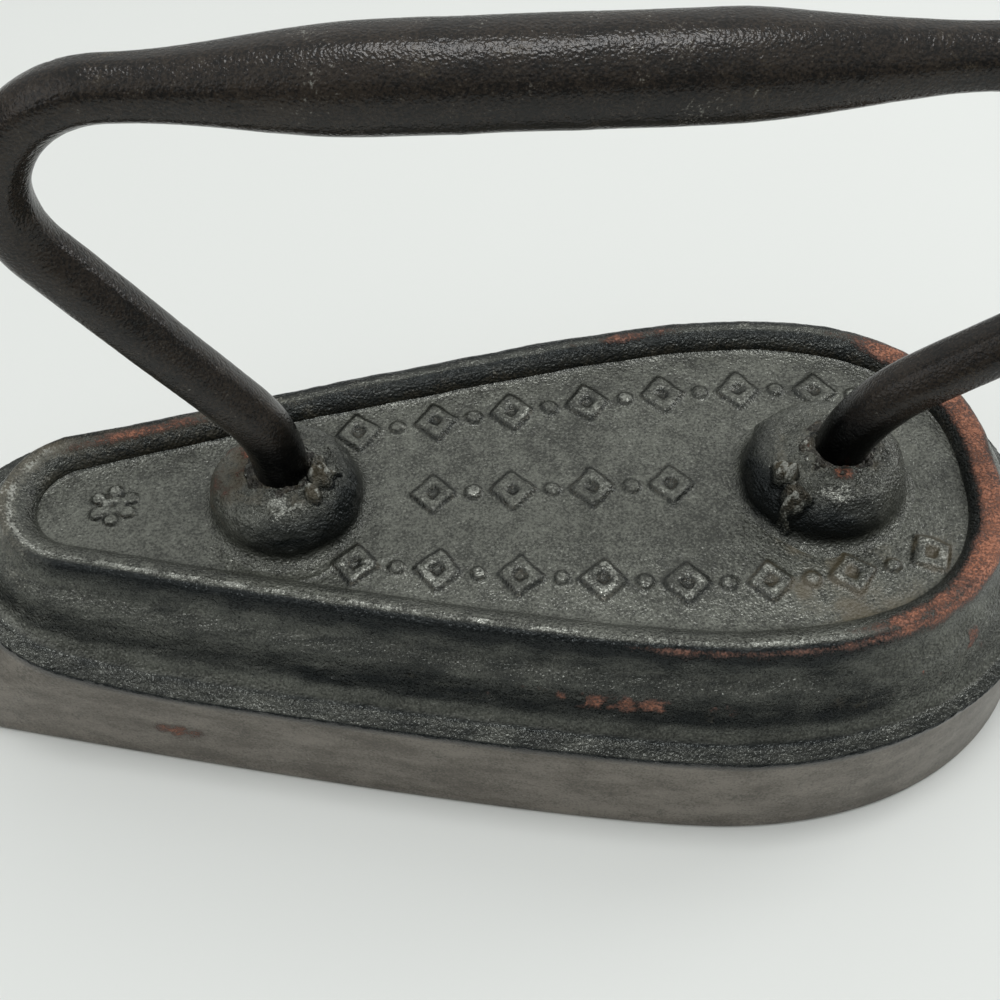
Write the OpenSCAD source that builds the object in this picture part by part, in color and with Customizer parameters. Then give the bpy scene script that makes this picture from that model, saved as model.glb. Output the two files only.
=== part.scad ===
// Sleeve iron: a narrow cast-iron body with a bent bar handle set in two bosses.
// Millimetres, +Z up, the sole at z = 0, the toe towards -X and the heel towards +X.
// The origin is under the middle of the whole iron.

/* [Sole] */
// Length of the sole from toe to heel
sole_len = 177.8; // [170:0.2:190]
// Width of the sole at its widest station
sole_w = 79.6; // [74:0.2:86]
// Radius of the round toe of the sole
sole_toe_r = 18; // [14:0.2:21]
// Length of the round heel, from the widest station back
heel_len = 48.4; // [42:0.1:56]
// Squareness of the sole's heel, where 2 is a plain ellipse
sole_heel_power = 2.15; // [2:0.05:3]
// Size of the worn bevel round the sole's edge
sole_bevel = 0.5; // [0.2:0.1:1.5]

/* [Ground flank and lip] */
// Height of the ground flank along the sides
flank_h = 18.5; // [15:0.1:21]
// How much higher the lip stands at the toe than along the sides
lip_rise = 8; // [0:0.1:9]
// Length behind the toe over which the lip climbs
lip_rise_run = 35; // [25:1:50]
// How far the lip's toe stands behind the sole's toe
toe_slope = 14.7; // [8:0.1:20]
// Radius of the round toe of the lip
lip_toe_r = 22.7; // [18:0.1:25]
// How far the rough lip hangs over the ground flank
lip_overhang = 0.5; // [0.2:0.1:1.2]
// Height of the lip's blunt edge
lip_edge_h = 1.1; // [0.5:0.1:2]

/* [Cove and rim] */
// Height of the rim's crest above the sole
body_h = 34; // [31:0.5:38]
// How far the rim's crest stands in from the lip at the sides
rim_side_inset = 10.8; // [9:0.1:13]
// How far the rim's crest stands in from the lip at the heel
rim_heel_inset = 11.3; // [9:0.1:15]
// How far the rim's crest stands behind the lip at the toe
rim_toe_inset = 10.5; // [8:0.1:13]
// Radius of the round toe of the rim's crest
rim_toe_r = 10.2; // [8:0.1:12]
// Squareness of the rim's heel, where 2 is a plain ellipse
rim_heel_power = 2.5; // [2:0.1:3.2]
// Width of the rim's bead outside its crest
bead_out = 1.9; // [1.2:0.1:2.6]
// How far the bead's outer edge lies below the crest
bead_drop = 1.7; // [1:0.1:2.4]
// How far the shoulder stands out from the crest
shoulder_out = 5; // [4:0.1:6.4]
// How far the shoulder lies below the crest
shoulder_drop = 6.4; // [4.6:0.1:7.6]

/* [Deck] */
// Width of the rim's bead inside its crest
bead_in = 3.1; // [2.2:0.1:4]
// Depth of the deck below the rim's crest
deck_drop = 2.6; // [1.6:0.1:3.4]
// Height of the raised ornament on the deck
relief_h = 0.7; // [0.4:0.1:1.2]
// Length of one raised lozenge along its row
lozenge_len = 6.4; // [5:0.1:8]
// Width of one raised lozenge across its row
lozenge_w = 7; // [5:0.1:8]
// Diameter of the raised beads between the lozenges
pellet_d = 2.4; // [1.6:0.1:3]
// Distance from one lozenge to the next in a row
motif_pitch = 11.6; // [10.5:0.1:12]
// Share of the rim's half width at which the two outer rows stand
row_share = 0.61; // [0.56:0.01:0.64]
// Lozenges in each outer row
row_count = 8; // [4:1:8]
// Distance of each outer row's first lozenge behind the front boss's axis
row_start = 10; // [9:0.1:11]
// Diameter of the raised flower near the toe
flower_d = 7.4; // [5:0.1:8.4]
// Distance of the flower from the rim's crest at the toe
flower_inset = 14.2; // [12:0.1:17]

/* [Bosses] */
// Distance between the axes of the two bosses
boss_spacing = 78; // [72:0.5:84]
// Distance from the sole's toe to the front boss
toe_to_boss = 64.9; // [60:0.1:70]
// Radius of the front boss where it meets the deck
front_boss_r = 10.9; // [10:0.1:12]
// Radius of the rear boss where it meets the deck
rear_boss_r = 11.8; // [10.5:0.1:12.6]
// Radius of the flat top of each boss
boss_top_r = 7.4; // [7.1:0.1:8]
// Height of each boss above the deck
boss_h = 8; // [6.5:0.1:9.5]
// Radius of the soft fillet between a boss and the deck
boss_fillet = 1.3; // [0.6:0.1:2]

/* [Sockets] */
// Depth of each socket below the top of its boss
socket_depth = 18; // [15:0.5:22]
// Radius of a socket at its mouth
socket_mouth_r = 5.5; // [5.2:0.1:6]
// Radius of a socket at its floor, wider so that the metal run in is locked
socket_floor_r = 7; // [6:0.1:8]
// Thickness of the metal run in under the bar's foot
fill_floor_t = 1.2; // [0.6:0.1:2]
// Radius of the crumbly collar on top of each boss
collar_r = 5.9; // [5.7:0.1:6.2]
// Height of the crumbly collar above the boss
collar_h = 0.9; // [0.5:0.1:1.5]
// Clearance between the metal run in and what it touches
fill_gap = 0.05; // [0.02:0.01:0.15]

/* [Handle] */
// Diameter of the handle's bar
bar_d = 7.6; // [7:0.1:8.6]
// Diameter of the grip at its thickest
grip_d = 12.4; // [9:0.1:15]
// Height of the grip's axis above the sole
grip_z = 105; // [100:0.5:114]
// Length over which the bar swells into the grip at each end
swell_run = 30; // [20:1:38]
// Radius of the upset foot at each end of the bar
foot_r = 4.9; // [4.6:0.1:5.1]
// Height of the upset foot
foot_h = 4.5; // [3:0.1:6]
// Height above the boss at which the front leg begins to bend
front_rise = 0.8; // [-3:0.1:4]
// Lean of the front leg from upright, in degrees
front_lean = 33.5; // [28:0.5:38]
// Bend radius at the front neck
front_neck_r = 22; // [16:0.5:28]
// Straight length of the front leg
front_straight = 35; // [30:0.5:37]
// How far the bar stands behind the axis of the rear boss
rear_shift = 1.2; // [0:0.1:1.4]
// Depth below the top of the rear boss at which the rear leg begins to bend
rear_sink = 5.1; // [2:0.1:6]
// Lean of the rear leg from upright, in degrees
rear_lean = 55; // [48:1:60]
// Bend radius at the rear neck
rear_neck_r = 23; // [18:0.5:28]
// Straight length of the rear leg
rear_straight = 12; // [8:0.5:14]

/* [Hidden] */

// Fineness: points of an outline's quarter, sides of the bar, steps of a bend and of a swell
outline_steps = 12;
bar_sides = 20;
bend_steps = 12;
swell_steps = 7;
round_fn = 64;
bead_fn = 24;

// Depth to which the ornament is rooted in the deck, and height by which a cutter stands proud
relief_root = 0.5;
cutter_extra = 1;

// Heights
deck_z = body_h - deck_drop;
boss_top_z = deck_z + boss_h;
socket_floor_z = boss_top_z - socket_depth;
foot_z = socket_floor_z + fill_floor_t;

// The handle, from the axis of each neck
bar_r = bar_d / 2;
grip_r = grip_d / 2;
foot_bevel = 0.6;
foot_taper = 3;
front_bend_z = boss_top_z + front_rise;
rear_bend_z = boss_top_z - rear_sink;

// Radius of the bend that brings a leg up to the grip's height
function shoulder_r(lean, neck_r, straight, bend_z) =
    (grip_z - straight * cos(lean) - neck_r * sin(lean) - bend_z) / (1 + sin(lean));

front_shoulder_r = shoulder_r(front_lean, front_neck_r, front_straight, front_bend_z);
rear_shoulder_r = shoulder_r(rear_lean, rear_neck_r, rear_straight, rear_bend_z);

// Distance from a neck's axis out to the axis of the shoulder bend, and to its outermost point
function shoulder_reach(lean, neck_r, straight, bend_r) =
    neck_r * (1 - cos(lean)) + straight * sin(lean) - bend_r * cos(lean);

front_reach = shoulder_reach(front_lean, front_neck_r, front_straight, front_shoulder_r);
rear_reach = shoulder_reach(rear_lean, rear_neck_r, rear_straight, rear_shoulder_r);

// Stations along X: the iron is centred on its whole length, with the handle
heel_from_boss = sole_len - toe_to_boss;
handle_from_boss = boss_spacing + rear_shift + rear_reach + rear_shoulder_r + bar_r;
front_boss_x = (toe_to_boss - max(heel_from_boss, handle_from_boss)) / 2;
rear_boss_x = front_boss_x + boss_spacing;
rear_neck_x = rear_boss_x + rear_shift;
sole_toe_x = front_boss_x - toe_to_boss;
sole_heel_x = sole_toe_x + sole_len;
widest_x = sole_heel_x - heel_len;

// An outline is [toe x, toe radius, heel x, half width, heel power]
sole_line = [sole_toe_x, sole_toe_r, sole_heel_x, sole_w / 2, sole_heel_power];
lip_line = [sole_toe_x + toe_slope, lip_toe_r, sole_heel_x, sole_w / 2, sole_heel_power];
rim_line = [lip_line[0] + rim_toe_inset, rim_toe_r, sole_heel_x - rim_heel_inset,
            sole_w / 2 - rim_side_inset, rim_heel_power];

// An outline drawn in on every side by d
function inset(line, d) = [line[0] + d, line[1] - d, line[2] - d, line[3] - d, line[4]];

// An outline part of the way from the rim, at 0, to the lip, at 1
function between(t) = rim_line + (lip_line - rim_line) * t;

// Share of a side's length over which it eases into its widest station
side_ease = 0.21;

// Upper half of an outline: the heel's quarter, the nearly straight side and the toe's arc
function half_outline(line) =
    let (
        toe_c = line[0] + line[1],
        turn = acos((line[1] - line[3]) / (widest_x - toe_c)),
        side_end = [toe_c + line[1] * cos(turn), line[1] * sin(turn)],
        side_start = [widest_x, line[3]],
        eased = side_start - [side_ease * norm(side_start - side_end), 0]
    )
    concat(
        [for (i = [0:outline_steps])
            let (a = 90 * i / outline_steps)
            [widest_x + (line[2] - widest_x) * pow(cos(a), 2 / line[4]),
             line[3] * pow(sin(a), 2 / line[4])]],
        [for (i = [1:outline_steps])
            let (t = i / outline_steps, s = 1 - t)
            pow(s, 3) * side_start + 3 * s * s * t * eased
                + (3 * s * t * t + pow(t, 3)) * side_end],
        [for (i = [1:outline_steps])
            let (a = turn + (180 - turn) * i / outline_steps)
            [toe_c + line[1] * cos(a), line[1] * sin(a)]]
    );

// A whole outline at height z, climbing towards the toe by rise
function ring(line, z, rise) =
    let (
        half = half_outline(line),
        last = len(half) - 1,
        flat = concat(half, [for (i = [last - 1:-1:1]) [half[i][0], -half[i][1]]])
    )
    [for (p = flat)
        let (u = max(0, line[0] + lip_rise_run - p[0]) / lip_rise_run)
        [p[0], p[1], z + rise * u * u]];

// A ring on the cove: out from the rim's crest by d, at height z along the sides
function cove_ring(d, z) =
    let (t = d / rim_side_inset)
    ring(between(t), z, lip_rise * t);

// A point of the quadratic curve from a to c that is drawn towards b
function curve(a, b, c, t) = (1 - t) * (1 - t) * a + 2 * t * (1 - t) * b + t * t * c;

// The section from lip to crest as [distance out from the crest, height], with the points
// that the hollow cove and the hollow wall above it are drawn towards
lip_top = [rim_side_inset - lip_overhang, flank_h + lip_edge_h];
shoulder = [shoulder_out, body_h - shoulder_drop];
bead_edge = [bead_out, body_h - bead_drop];
cove_pull = [shoulder[0] + 0.6, lip_top[1] + 1.6];
wall_pull = [bead_edge[0] + 0.7, shoulder[1] + 1.3];
cove_section = concat(
    [for (i = [0:6]) curve(lip_top, cove_pull, shoulder, i / 6)],
    [for (i = [1:4]) curve(shoulder, wall_pull, bead_edge, i / 4)],
    [for (a = [67.5:-22.5:0]) [bead_out * sin(a), body_h - bead_drop * (1 - cos(a))]]
);

// The casting's rings from the sole up to the edge of the deck
flank_top = inset(lip_line, lip_overhang);
body_rings = concat(
    [ring(inset(sole_line, sole_bevel), 0, 0),
     ring(sole_line, sole_bevel, 0),
     ring(flank_top, flank_h - lip_overhang, lip_rise),
     ring(lip_line, flank_h, lip_rise)],
    [for (p = cove_section) cove_ring(p[0], p[1])],
    [for (a = [30:30:90])
        ring(inset(rim_line, bead_in * sin(a)), body_h - deck_drop * (1 - cos(a)), 0)]
);

// A closed skin through rings of equal length, capped flat at both ends
module loft(rings) {
    n = len(rings[0]);
    last = len(rings) - 1;
    sides = [for (k = [0:last - 1], i = [0:n - 1])
        let (j = (i + 1) % n)
        [k * n + i, (k + 1) * n + i, (k + 1) * n + j, k * n + j]];
    polyhedron(
        points = [for (r = rings, p = r) p],
        faces = concat([[for (i = [0:n - 1]) i]], sides,
                       [[for (i = [n - 1:-1:0]) last * n + i]])
    );
}

// One boss: a soft fillet, a round flank and a flat top
module boss(base_r) {
    flank = [for (i = [0:6])
        let (a = 15 * i)
        [boss_top_r + (base_r - boss_top_r) * cos(a),
         boss_fillet + (boss_h - boss_fillet) * sin(a)]];
    fillet = [for (i = [0:3])
        let (a = 30 * i)
        [base_r + boss_fillet * (1 - sin(a)), boss_fillet * (1 - cos(a))]];
    rotate_extrude($fn = round_fn)
        polygon(concat([[0, -boss_fillet], [base_r + boss_fillet, -boss_fillet]],
                       fillet, flank, [[0, boss_h]]));
}

// A socket's hollow, wider at its floor, drawn in all round by gap and carried up past the boss
module socket(gap, above) {
    rotate_extrude($fn = round_fn)
        polygon([[0, socket_floor_z + gap], [socket_floor_r - gap, socket_floor_z + gap],
                 [socket_mouth_r - gap, boss_top_z],
                 [socket_mouth_r - gap, boss_top_z + above],
                 [0, boss_top_z + above]]);
}

// One raised lozenge, and the bead that stands between two lozenges
module lozenge() {
    translate([0, 0, -relief_root])
        linear_extrude(relief_root + relief_h)
            polygon([[-lozenge_len / 2, 0], [0, -lozenge_w / 2],
                     [lozenge_len / 2, 0], [0, lozenge_w / 2]]);
}

module bead(d) {
    translate([0, 0, -relief_root])
        cylinder(d = d, h = relief_root + relief_h, $fn = bead_fn);
}

// Distance of an outer row from the iron's axis at station x, in step with the rim
function row_y(x) = row_share * lookup(x, half_outline(rim_line));

// An outer row on one side of the deck, with a bead between each two lozenges
module outer_row(side) {
    first_x = front_boss_x + row_start;
    for (i = [0:row_count - 1])
        let (x = first_x + i * motif_pitch, turn = atan((row_y(x + 1) - row_y(x - 1)) / 2))
            translate([x, side * row_y(x), 0])
                rotate(side * turn)
                    lozenge();
    for (i = [1:row_count - 1])
        let (x = first_x + (i - 0.5) * motif_pitch)
            translate([x, side * row_y(x), 0])
                bead(pellet_d);
}

// The middle row: as many lozenges as fit between the bosses
module middle_row() {
    span = boss_spacing - front_boss_r - rear_boss_r - 4 * boss_fillet;
    last = floor((span - lozenge_len) / motif_pitch);
    middle_x = (front_boss_x + front_boss_r + rear_boss_x - rear_boss_r) / 2;
    translate([middle_x - last * motif_pitch / 2, 0, 0]) {
        for (i = [0:last])
            translate([i * motif_pitch, 0, 0])
                lozenge();
        for (i = [1:last])
            translate([(i - 0.5) * motif_pitch, 0, 0])
                bead(pellet_d);
    }
}

// A raised flower: six petals round a middle bead
module flower() {
    petal_d = 0.3 * flower_d;
    bead(0.45 * flower_d);
    for (a = [30:60:330])
        rotate(a)
            translate([(flower_d - petal_d) / 2, 0, 0])
                bead(petal_d);
}

// The deck's raised ornament: three rows and a flower near the toe
module deck_ornament() {
    translate([0, 0, deck_z]) {
        outer_row(1);
        outer_row(-1);
        middle_row();
        translate([rim_line[0] + flower_inset, 0, 0])
            flower();
    }
}

module body_casting() color([0.2, 0.22, 0.22]) {
    difference() {
        union() {
            loft(body_rings);
            translate([front_boss_x, 0, deck_z])
                boss(front_boss_r);
            translate([rear_boss_x, 0, deck_z])
                boss(rear_boss_r);
            deck_ornament();
        }
        translate([front_boss_x, 0, 0])
            socket(0, cutter_extra);
        translate([rear_neck_x, 0, 0])
            socket(0, cutter_extra);
    }
}

// Half of the handle from the foot up to the grip, as [distance out from the neck, height, radius]
function leg(lean, neck_r, straight, bend_r, bend_z, reach) =
    let (
        straight_foot = [neck_r * (1 - cos(lean)), bend_z + neck_r * sin(lean)],
        arc_z = grip_z - bend_r
    )
    concat(
        [[0, foot_z, foot_r - foot_bevel],
         [0, foot_z + foot_bevel, foot_r],
         [0, foot_z + foot_h, foot_r],
         [0, foot_z + foot_h + foot_taper, bar_r]],
        [for (i = [0:bend_steps])
            let (a = lean * i / bend_steps)
            [neck_r * (1 - cos(a)), bend_z + neck_r * sin(a), bar_r]],
        [for (i = [0:2 * bend_steps])
            let (a = -lean + (90 + lean) * i / (2 * bend_steps))
            [reach + bend_r * cos(a), arc_z + bend_r * sin(a), bar_r]]
    );

front_leg = leg(front_lean, front_neck_r, front_straight, front_shoulder_r, front_bend_z,
                front_reach);
rear_leg = leg(rear_lean, rear_neck_r, rear_straight, rear_shoulder_r, rear_bend_z,
               rear_reach);
grip_front_x = front_boss_x - front_reach;
grip_rear_x = rear_neck_x + rear_reach;

// How far the bar has swollen at a share t of the swell, from 0 to 1
function eased(t) = t * t * (3 - 2 * t);
function swell(t) = bar_r + (grip_r - bar_r) * eased(t);

// The bar's whole path from the front foot to the rear foot, as [x, z, radius]
bar_path = concat(
    [for (p = front_leg) [front_boss_x - p[0], p[1], p[2]]],
    [for (i = [1:swell_steps])
        let (t = i / swell_steps)
        [grip_front_x + swell_run * t, grip_z, swell(t)]],
    [for (i = [swell_steps:-1:1])
        let (t = i / swell_steps)
        [grip_rear_x - swell_run * t, grip_z, swell(t)]],
    [for (i = [len(rear_leg) - 1:-1:0])
        [rear_neck_x + rear_leg[i][0], rear_leg[i][1], rear_leg[i][2]]]
);

// Direction of the path at point i, in the plane of the handle
function heading(i) =
    let (
        a = bar_path[max(0, i - 1)],
        b = bar_path[min(len(bar_path) - 1, i + 1)],
        d = [b[0] - a[0], b[1] - a[1]]
    )
    d / norm(d);

// The bar's section at point i, grown all round by gap, and past both ends
function bar_ring(i, gap) =
    let (
        p = bar_path[i],
        d = heading(i),
        r = p[2] + gap,
        past = i == 0 ? -gap : i == len(bar_path) - 1 ? gap : 0,
        x = p[0] + d[0] * past,
        z = p[1] + d[1] * past
    )
    [for (k = [0:bar_sides - 1])
        let (a = -360 * k / bar_sides)
        [x - d[1] * r * cos(a), r * sin(a), z + d[0] * r * cos(a)]];

module handle_bar() color([0.17, 0.16, 0.15])
    loft([for (i = [0:len(bar_path) - 1]) bar_ring(i, 0)]);

// The metal run in round one end of the bar, with its collar on top of the boss
module socket_fill(neck_x, end_rings) {
    difference() {
        translate([neck_x, 0, 0]) {
            socket(fill_gap, fill_gap);
            translate([0, 0, boss_top_z + fill_gap])
                rotate_extrude($fn = round_fn)
                    polygon(concat([[0, 0]],
                                   [for (a = [0:15:90])
                                       [bar_r + (collar_r - bar_r) * cos(a), collar_h * sin(a)]],
                                   [[0, collar_h]]));
        }
        loft(end_rings);
    }
}

// Rings of the bar's foot and neck, which the metal run in is moulded round
neck_rings = 4 + bend_steps;
ring_count = len(bar_path);

module front_socket_fill() color([0.33, 0.31, 0.28])
    socket_fill(front_boss_x, [for (i = [0:neck_rings - 1]) bar_ring(i, fill_gap)]);

module rear_socket_fill() color([0.36, 0.3, 0.25])
    socket_fill(rear_neck_x,
                [for (i = [ring_count - neck_rings:ring_count - 1]) bar_ring(i, fill_gap)]);

body_casting();
handle_bar();
front_socket_fill();
rear_socket_fill();
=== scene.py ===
"""The looks of an old one-piece sleeve iron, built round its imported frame.

The iron is one casting with a ground sole and flank, a rough lip, a hollow cove and a raised
rim round a sunk deck. A forged bar handle stands in two bosses on the deck, and crumbly metal
run in round its necks holds it. Sizes are in millimetres and go into the meshes in metres.
X runs from the toe to the heel, Z is up, and the sole stands at z = 0.
"""

import itertools
import logging
import math
from dataclasses import dataclass, field, replace
from enum import Enum

import bpy
import numpy as np
from mathutils import Matrix, Vector


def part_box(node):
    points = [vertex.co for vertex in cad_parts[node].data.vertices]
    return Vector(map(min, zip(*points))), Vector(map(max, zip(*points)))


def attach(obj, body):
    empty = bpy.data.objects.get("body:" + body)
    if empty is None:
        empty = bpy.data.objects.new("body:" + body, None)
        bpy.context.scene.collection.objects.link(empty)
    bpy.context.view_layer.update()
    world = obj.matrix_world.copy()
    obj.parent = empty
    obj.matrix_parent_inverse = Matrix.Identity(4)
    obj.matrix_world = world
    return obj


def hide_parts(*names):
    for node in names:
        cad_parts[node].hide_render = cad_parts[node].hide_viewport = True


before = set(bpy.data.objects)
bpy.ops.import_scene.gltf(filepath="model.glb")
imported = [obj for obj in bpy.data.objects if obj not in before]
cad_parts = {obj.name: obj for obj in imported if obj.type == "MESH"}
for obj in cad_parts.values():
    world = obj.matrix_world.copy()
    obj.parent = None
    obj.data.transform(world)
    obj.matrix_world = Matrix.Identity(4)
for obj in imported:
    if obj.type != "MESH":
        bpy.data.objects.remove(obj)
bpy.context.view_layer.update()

MM = 0.001
Array = np.ndarray
Colour = tuple[float, float, float]
LOG = logging.getLogger("sleeve_iron")


class Slot(str, Enum):
    """Material slots of the record that a piece takes its finish from."""

    CAST = "cast_body"
    FORGED = "forged_bar"
    RUN_IN = "run_in_metal"


class Mask(str, Enum):
    """Shares from 0 to 1 that each mesh carries for its material."""

    GROUND = "ground"
    # Soot, and painted shade in creases, undercuts and on sides turned from the light.
    SOOT_AND_SHADE = "soot_and_shade"
    # Rubbed wear, and painted highlights and glints.
    POLISH_AND_GLINT = "polish_and_glint"
    RUST = "rust"
    DIRT = "dirt"
    COARSE = "coarse"


def smooth(low: float, high: float, value: Array) -> Array:
    """A soft step: 0 at low, 1 at high and 3t^2 - 2t^3 between them.

    Args:
        low: Value at which the step begins.
        high: Value at which it ends, above or below low.
        value: Where the step is taken.

    Returns:
        The step at each value.
    """
    t = np.clip((value - low) / (high - low), 0, 1)
    return t * t * (3 - 2 * t)


def bell(value: Array, middle: float, width: float) -> Array:
    """A bell curve, e to the power of minus the square of (value - middle) / width."""
    return np.exp(-(((value - middle) / width) ** 2))


class Grain:
    """Random fields in space for lumps, pits and crumbs, worked out on whole arrays."""

    LATTICE = 256

    def __init__(self, seed: int) -> None:
        """Draws the lattice's random numbers.

        Args:
            seed: Number that fixes the draw.
        """
        draw = np.random.default_rng(seed)
        self.order = draw.permutation(self.LATTICE)
        spokes = draw.normal(size=(self.LATTICE, 3))
        self.spokes = spokes / np.linalg.norm(spokes, axis=1, keepdims=True)
        self.spots = draw.random((self.LATTICE, 3))

    def _draw_of(self, cell: Array) -> Array:
        """Row of the random tables that each lattice cell uses."""
        last = self.LATTICE - 1
        mixed = self.order[cell[..., 0] & last]
        mixed = self.order[(mixed + cell[..., 1]) & last]
        return self.order[(mixed + cell[..., 2]) & last]

    def lumps(self, points: Array, size: float) -> Array:
        """Gradient noise: each corner of a point's cell gives its spoke's dot product with the
        way from that corner to the point, and the eight are blended by 6t^5 - 15t^4 + 10t^3.

        Args:
            points: Places, with x, y and z last.
            size: Side of a cell.

        Returns:
            Heights of about -1 to 1.
        """
        scaled = points / size
        cell = np.floor(scaled).astype(int)
        inside = scaled - cell
        fade = inside**3 * (inside * (inside * 6 - 15) + 10)
        total = np.zeros(points.shape[:-1])
        for corner in itertools.product((0, 1), repeat=3):
            share = np.where(np.array(corner) == 1, fade, 1 - fade).prod(axis=-1)
            spoke = self.spokes[self._draw_of(cell + np.array(corner))]
            total += share * (spoke * (inside - np.array(corner))).sum(axis=-1)
        return 1.6 * total

    def layered(self, points: Array, size: float, layers: int) -> Array:
        """Lumps of a size, half of it, a quarter of it and so on, each layer half as high.

        Args:
            points: Places, with x, y and z last.
            size: Size of the largest lumps.
            layers: How many sizes are added.

        Returns:
            Heights of about -1.5 to 1.5.
        """
        shift = 19.7
        steps = (self.lumps(points + shift * k, size / 2**k) / 2**k for k in range(layers))
        return sum(steps)

    def crumbs(self, points: Array, size: float) -> Array:
        """Rounded grains: 1 less the distance to the nearest of one random spot in each cell.

        Args:
            points: Places, with x, y and z last.
            size: Side of a cell.

        Returns:
            Heights from about -0.2 between grains to 1 on a grain's top.
        """
        scaled = points / size
        cell = np.floor(scaled).astype(int)
        nearest = np.full(points.shape[:-1], 9.0)
        for step in itertools.product((-1, 0, 1), repeat=3):
            beside = cell + np.array(step)
            way = beside + self.spots[self._draw_of(beside)] - scaled
            nearest = np.minimum(nearest, (way**2).sum(axis=-1))
        return 1 - np.sqrt(nearest)


CAST_GRAIN = Grain(7)
FORGE_GRAIN = Grain(23)
RUST_GRAIN = Grain(41)


def skin(rows: int, across: int, wrap_rows: bool = False, wrap_across: bool = True) -> list:
    """Quads between neighbouring points of a grid.

    Args:
        rows: Rows of the grid.
        across: Points in each row.
        wrap_rows: Whether the last row joins the first.
        wrap_across: Whether a row's last point joins its first.

    Returns:
        Faces whose normals point along (step across) x (step to the next row).
    """
    row = np.arange(rows if wrap_rows else rows - 1)[:, None]
    column = np.arange(across if wrap_across else across - 1)[None, :]
    below, above = row * across, (row + 1) % rows * across
    beside = (column + 1) % across
    quads = np.stack([below + column, below + beside, above + beside, above + column], axis=-1)
    return quads.reshape(-1, 4).tolist()


def split_level(faces: list, height: Array) -> list:
    """Cuts quads into triangles along the more level diagonal, so that slanting edges stay clean.

    Args:
        faces: Quads.
        height: Height of each point.

    Returns:
        Triangles.
    """
    quads = np.array(faces)
    z = height[quads]
    turned = np.abs(z[:, 0] - z[:, 2]) > np.abs(z[:, 1] - z[:, 3])
    quads[turned] = np.roll(quads[turned], -1, axis=1)
    return quads[:, [0, 1, 2]].tolist() + quads[:, [0, 2, 3]].tolist()


def opposite_cap(first: int, around: int, upward: bool) -> list:
    """Faces that close a level loop by joining each point to its mirror image in the axis.

    Args:
        first: Index of the loop's first point, which lies on the axis.
        around: Points in the loop, an even number.
        upward: Whether the faces look up.

    Returns:
        The faces, quads with a triangle at each end.
    """
    half = around // 2
    faces = [[0, 1, around - 1]]
    faces += [[i, i + 1, around - i - 1, around - i] for i in range(1, half - 1)]
    faces += [[half - 1, half, half + 1]]
    turned = faces if upward else [face[::-1] for face in faces]
    return [[first + i for i in face] for face in turned]


def ring_cap(first: int, around: int, turned: bool) -> list:
    """One face that closes a small ring."""
    loop = list(range(first, first + around))
    return [loop[::-1] if turned else loop]


def normals(rings: Array, wrap_rows: bool = False) -> Array:
    """Unit normals of a grid that is closed across, by the rule that skin uses.

    Args:
        rings: Points, as rows by columns by x, y and z.
        wrap_rows: Whether the last row joins the first.

    Returns:
        One normal for each point.
    """
    along = np.roll(rings, -1, axis=1) - np.roll(rings, 1, axis=1)
    if wrap_rows:
        up = np.roll(rings, -1, axis=0) - np.roll(rings, 1, axis=0)
    else:
        up = np.gradient(rings, axis=0)
    normal = np.cross(along, up)
    return normal / np.maximum(np.linalg.norm(normal, axis=-1, keepdims=True), 1e-9)


@dataclass
class Piece:
    """A finished mesh before it goes into the scene.

    Attributes:
        name: Name of the piece.
        node: Frame node that it stands for.
        slot: Record slot of its finish; not used.
        points: Points in millimetres, in any shape that ends in x, y and z.
        faces: Faces as lists of point numbers.
        masks: Shares for the material, one array of the points' shape for each mask.
    """

    name: str
    node: str
    slot: Slot
    points: Array
    faces: list
    masks: dict[Mask, Array] = field(default_factory=dict)

    def place(self, material: bpy.types.Material) -> bpy.types.Object:
        """Makes the mesh, fixes it to the frame and reports it.

        Args:
            material: Its finish.

        Returns:
            The new object.
        """
        mesh = bpy.data.meshes.new(self.name)
        mesh.from_pydata((self.points.reshape(-1, 3) * MM).tolist(), [], self.faces)
        mesh.polygons.foreach_set("use_smooth", np.ones(len(mesh.polygons), dtype=bool))
        for mask in Mask:
            shares = np.broadcast_to(self.masks.get(mask, 0.0), self.points.shape[:-1])
            layer = mesh.attributes.new(mask.value, "FLOAT", "POINT")
            layer.data.foreach_set("value", np.clip(shares, 0, 1).ravel().astype(np.float32))
        mesh.materials.append(material)
        piece = bpy.data.objects.new(self.name, mesh)
        bpy.context.scene.collection.objects.link(piece)
        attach(piece, "root")
        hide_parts(self.node)
        LOG.info("%s: %d points, %d faces", self.name, len(mesh.vertices), len(mesh.polygons))
        return piece


@dataclass(frozen=True)
class Stations:
    """Where the iron's main points lie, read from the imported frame.

    Attributes:
        toe_x: The sole's toe.
        heel_x: The sole's heel.
        half_w: Half of the sole's width.
        front_x: Axis of the front boss and neck.
        rear_x: Axis of the rear neck.
        boss_top: Height of the bosses.
        handle_top: Height of the grip's top.
    """

    toe_x: float
    heel_x: float
    half_w: float
    front_x: float
    rear_x: float
    boss_top: float
    handle_top: float

    @classmethod
    def from_frame(cls) -> "Stations":
        """Reads the stations off the frame's boxes."""
        low, high = (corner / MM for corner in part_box("body_casting"))
        front = [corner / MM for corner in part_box("front_socket_fill")]
        rear = [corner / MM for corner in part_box("rear_socket_fill")]
        return cls(
            toe_x=low.x,
            heel_x=high.x,
            half_w=high.y,
            front_x=(front[0].x + front[1].x) / 2,
            rear_x=(rear[0].x + rear[1].x) / 2,
            boss_top=high.z,
            handle_top=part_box("handle_bar")[1].z / MM,
        )


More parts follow.
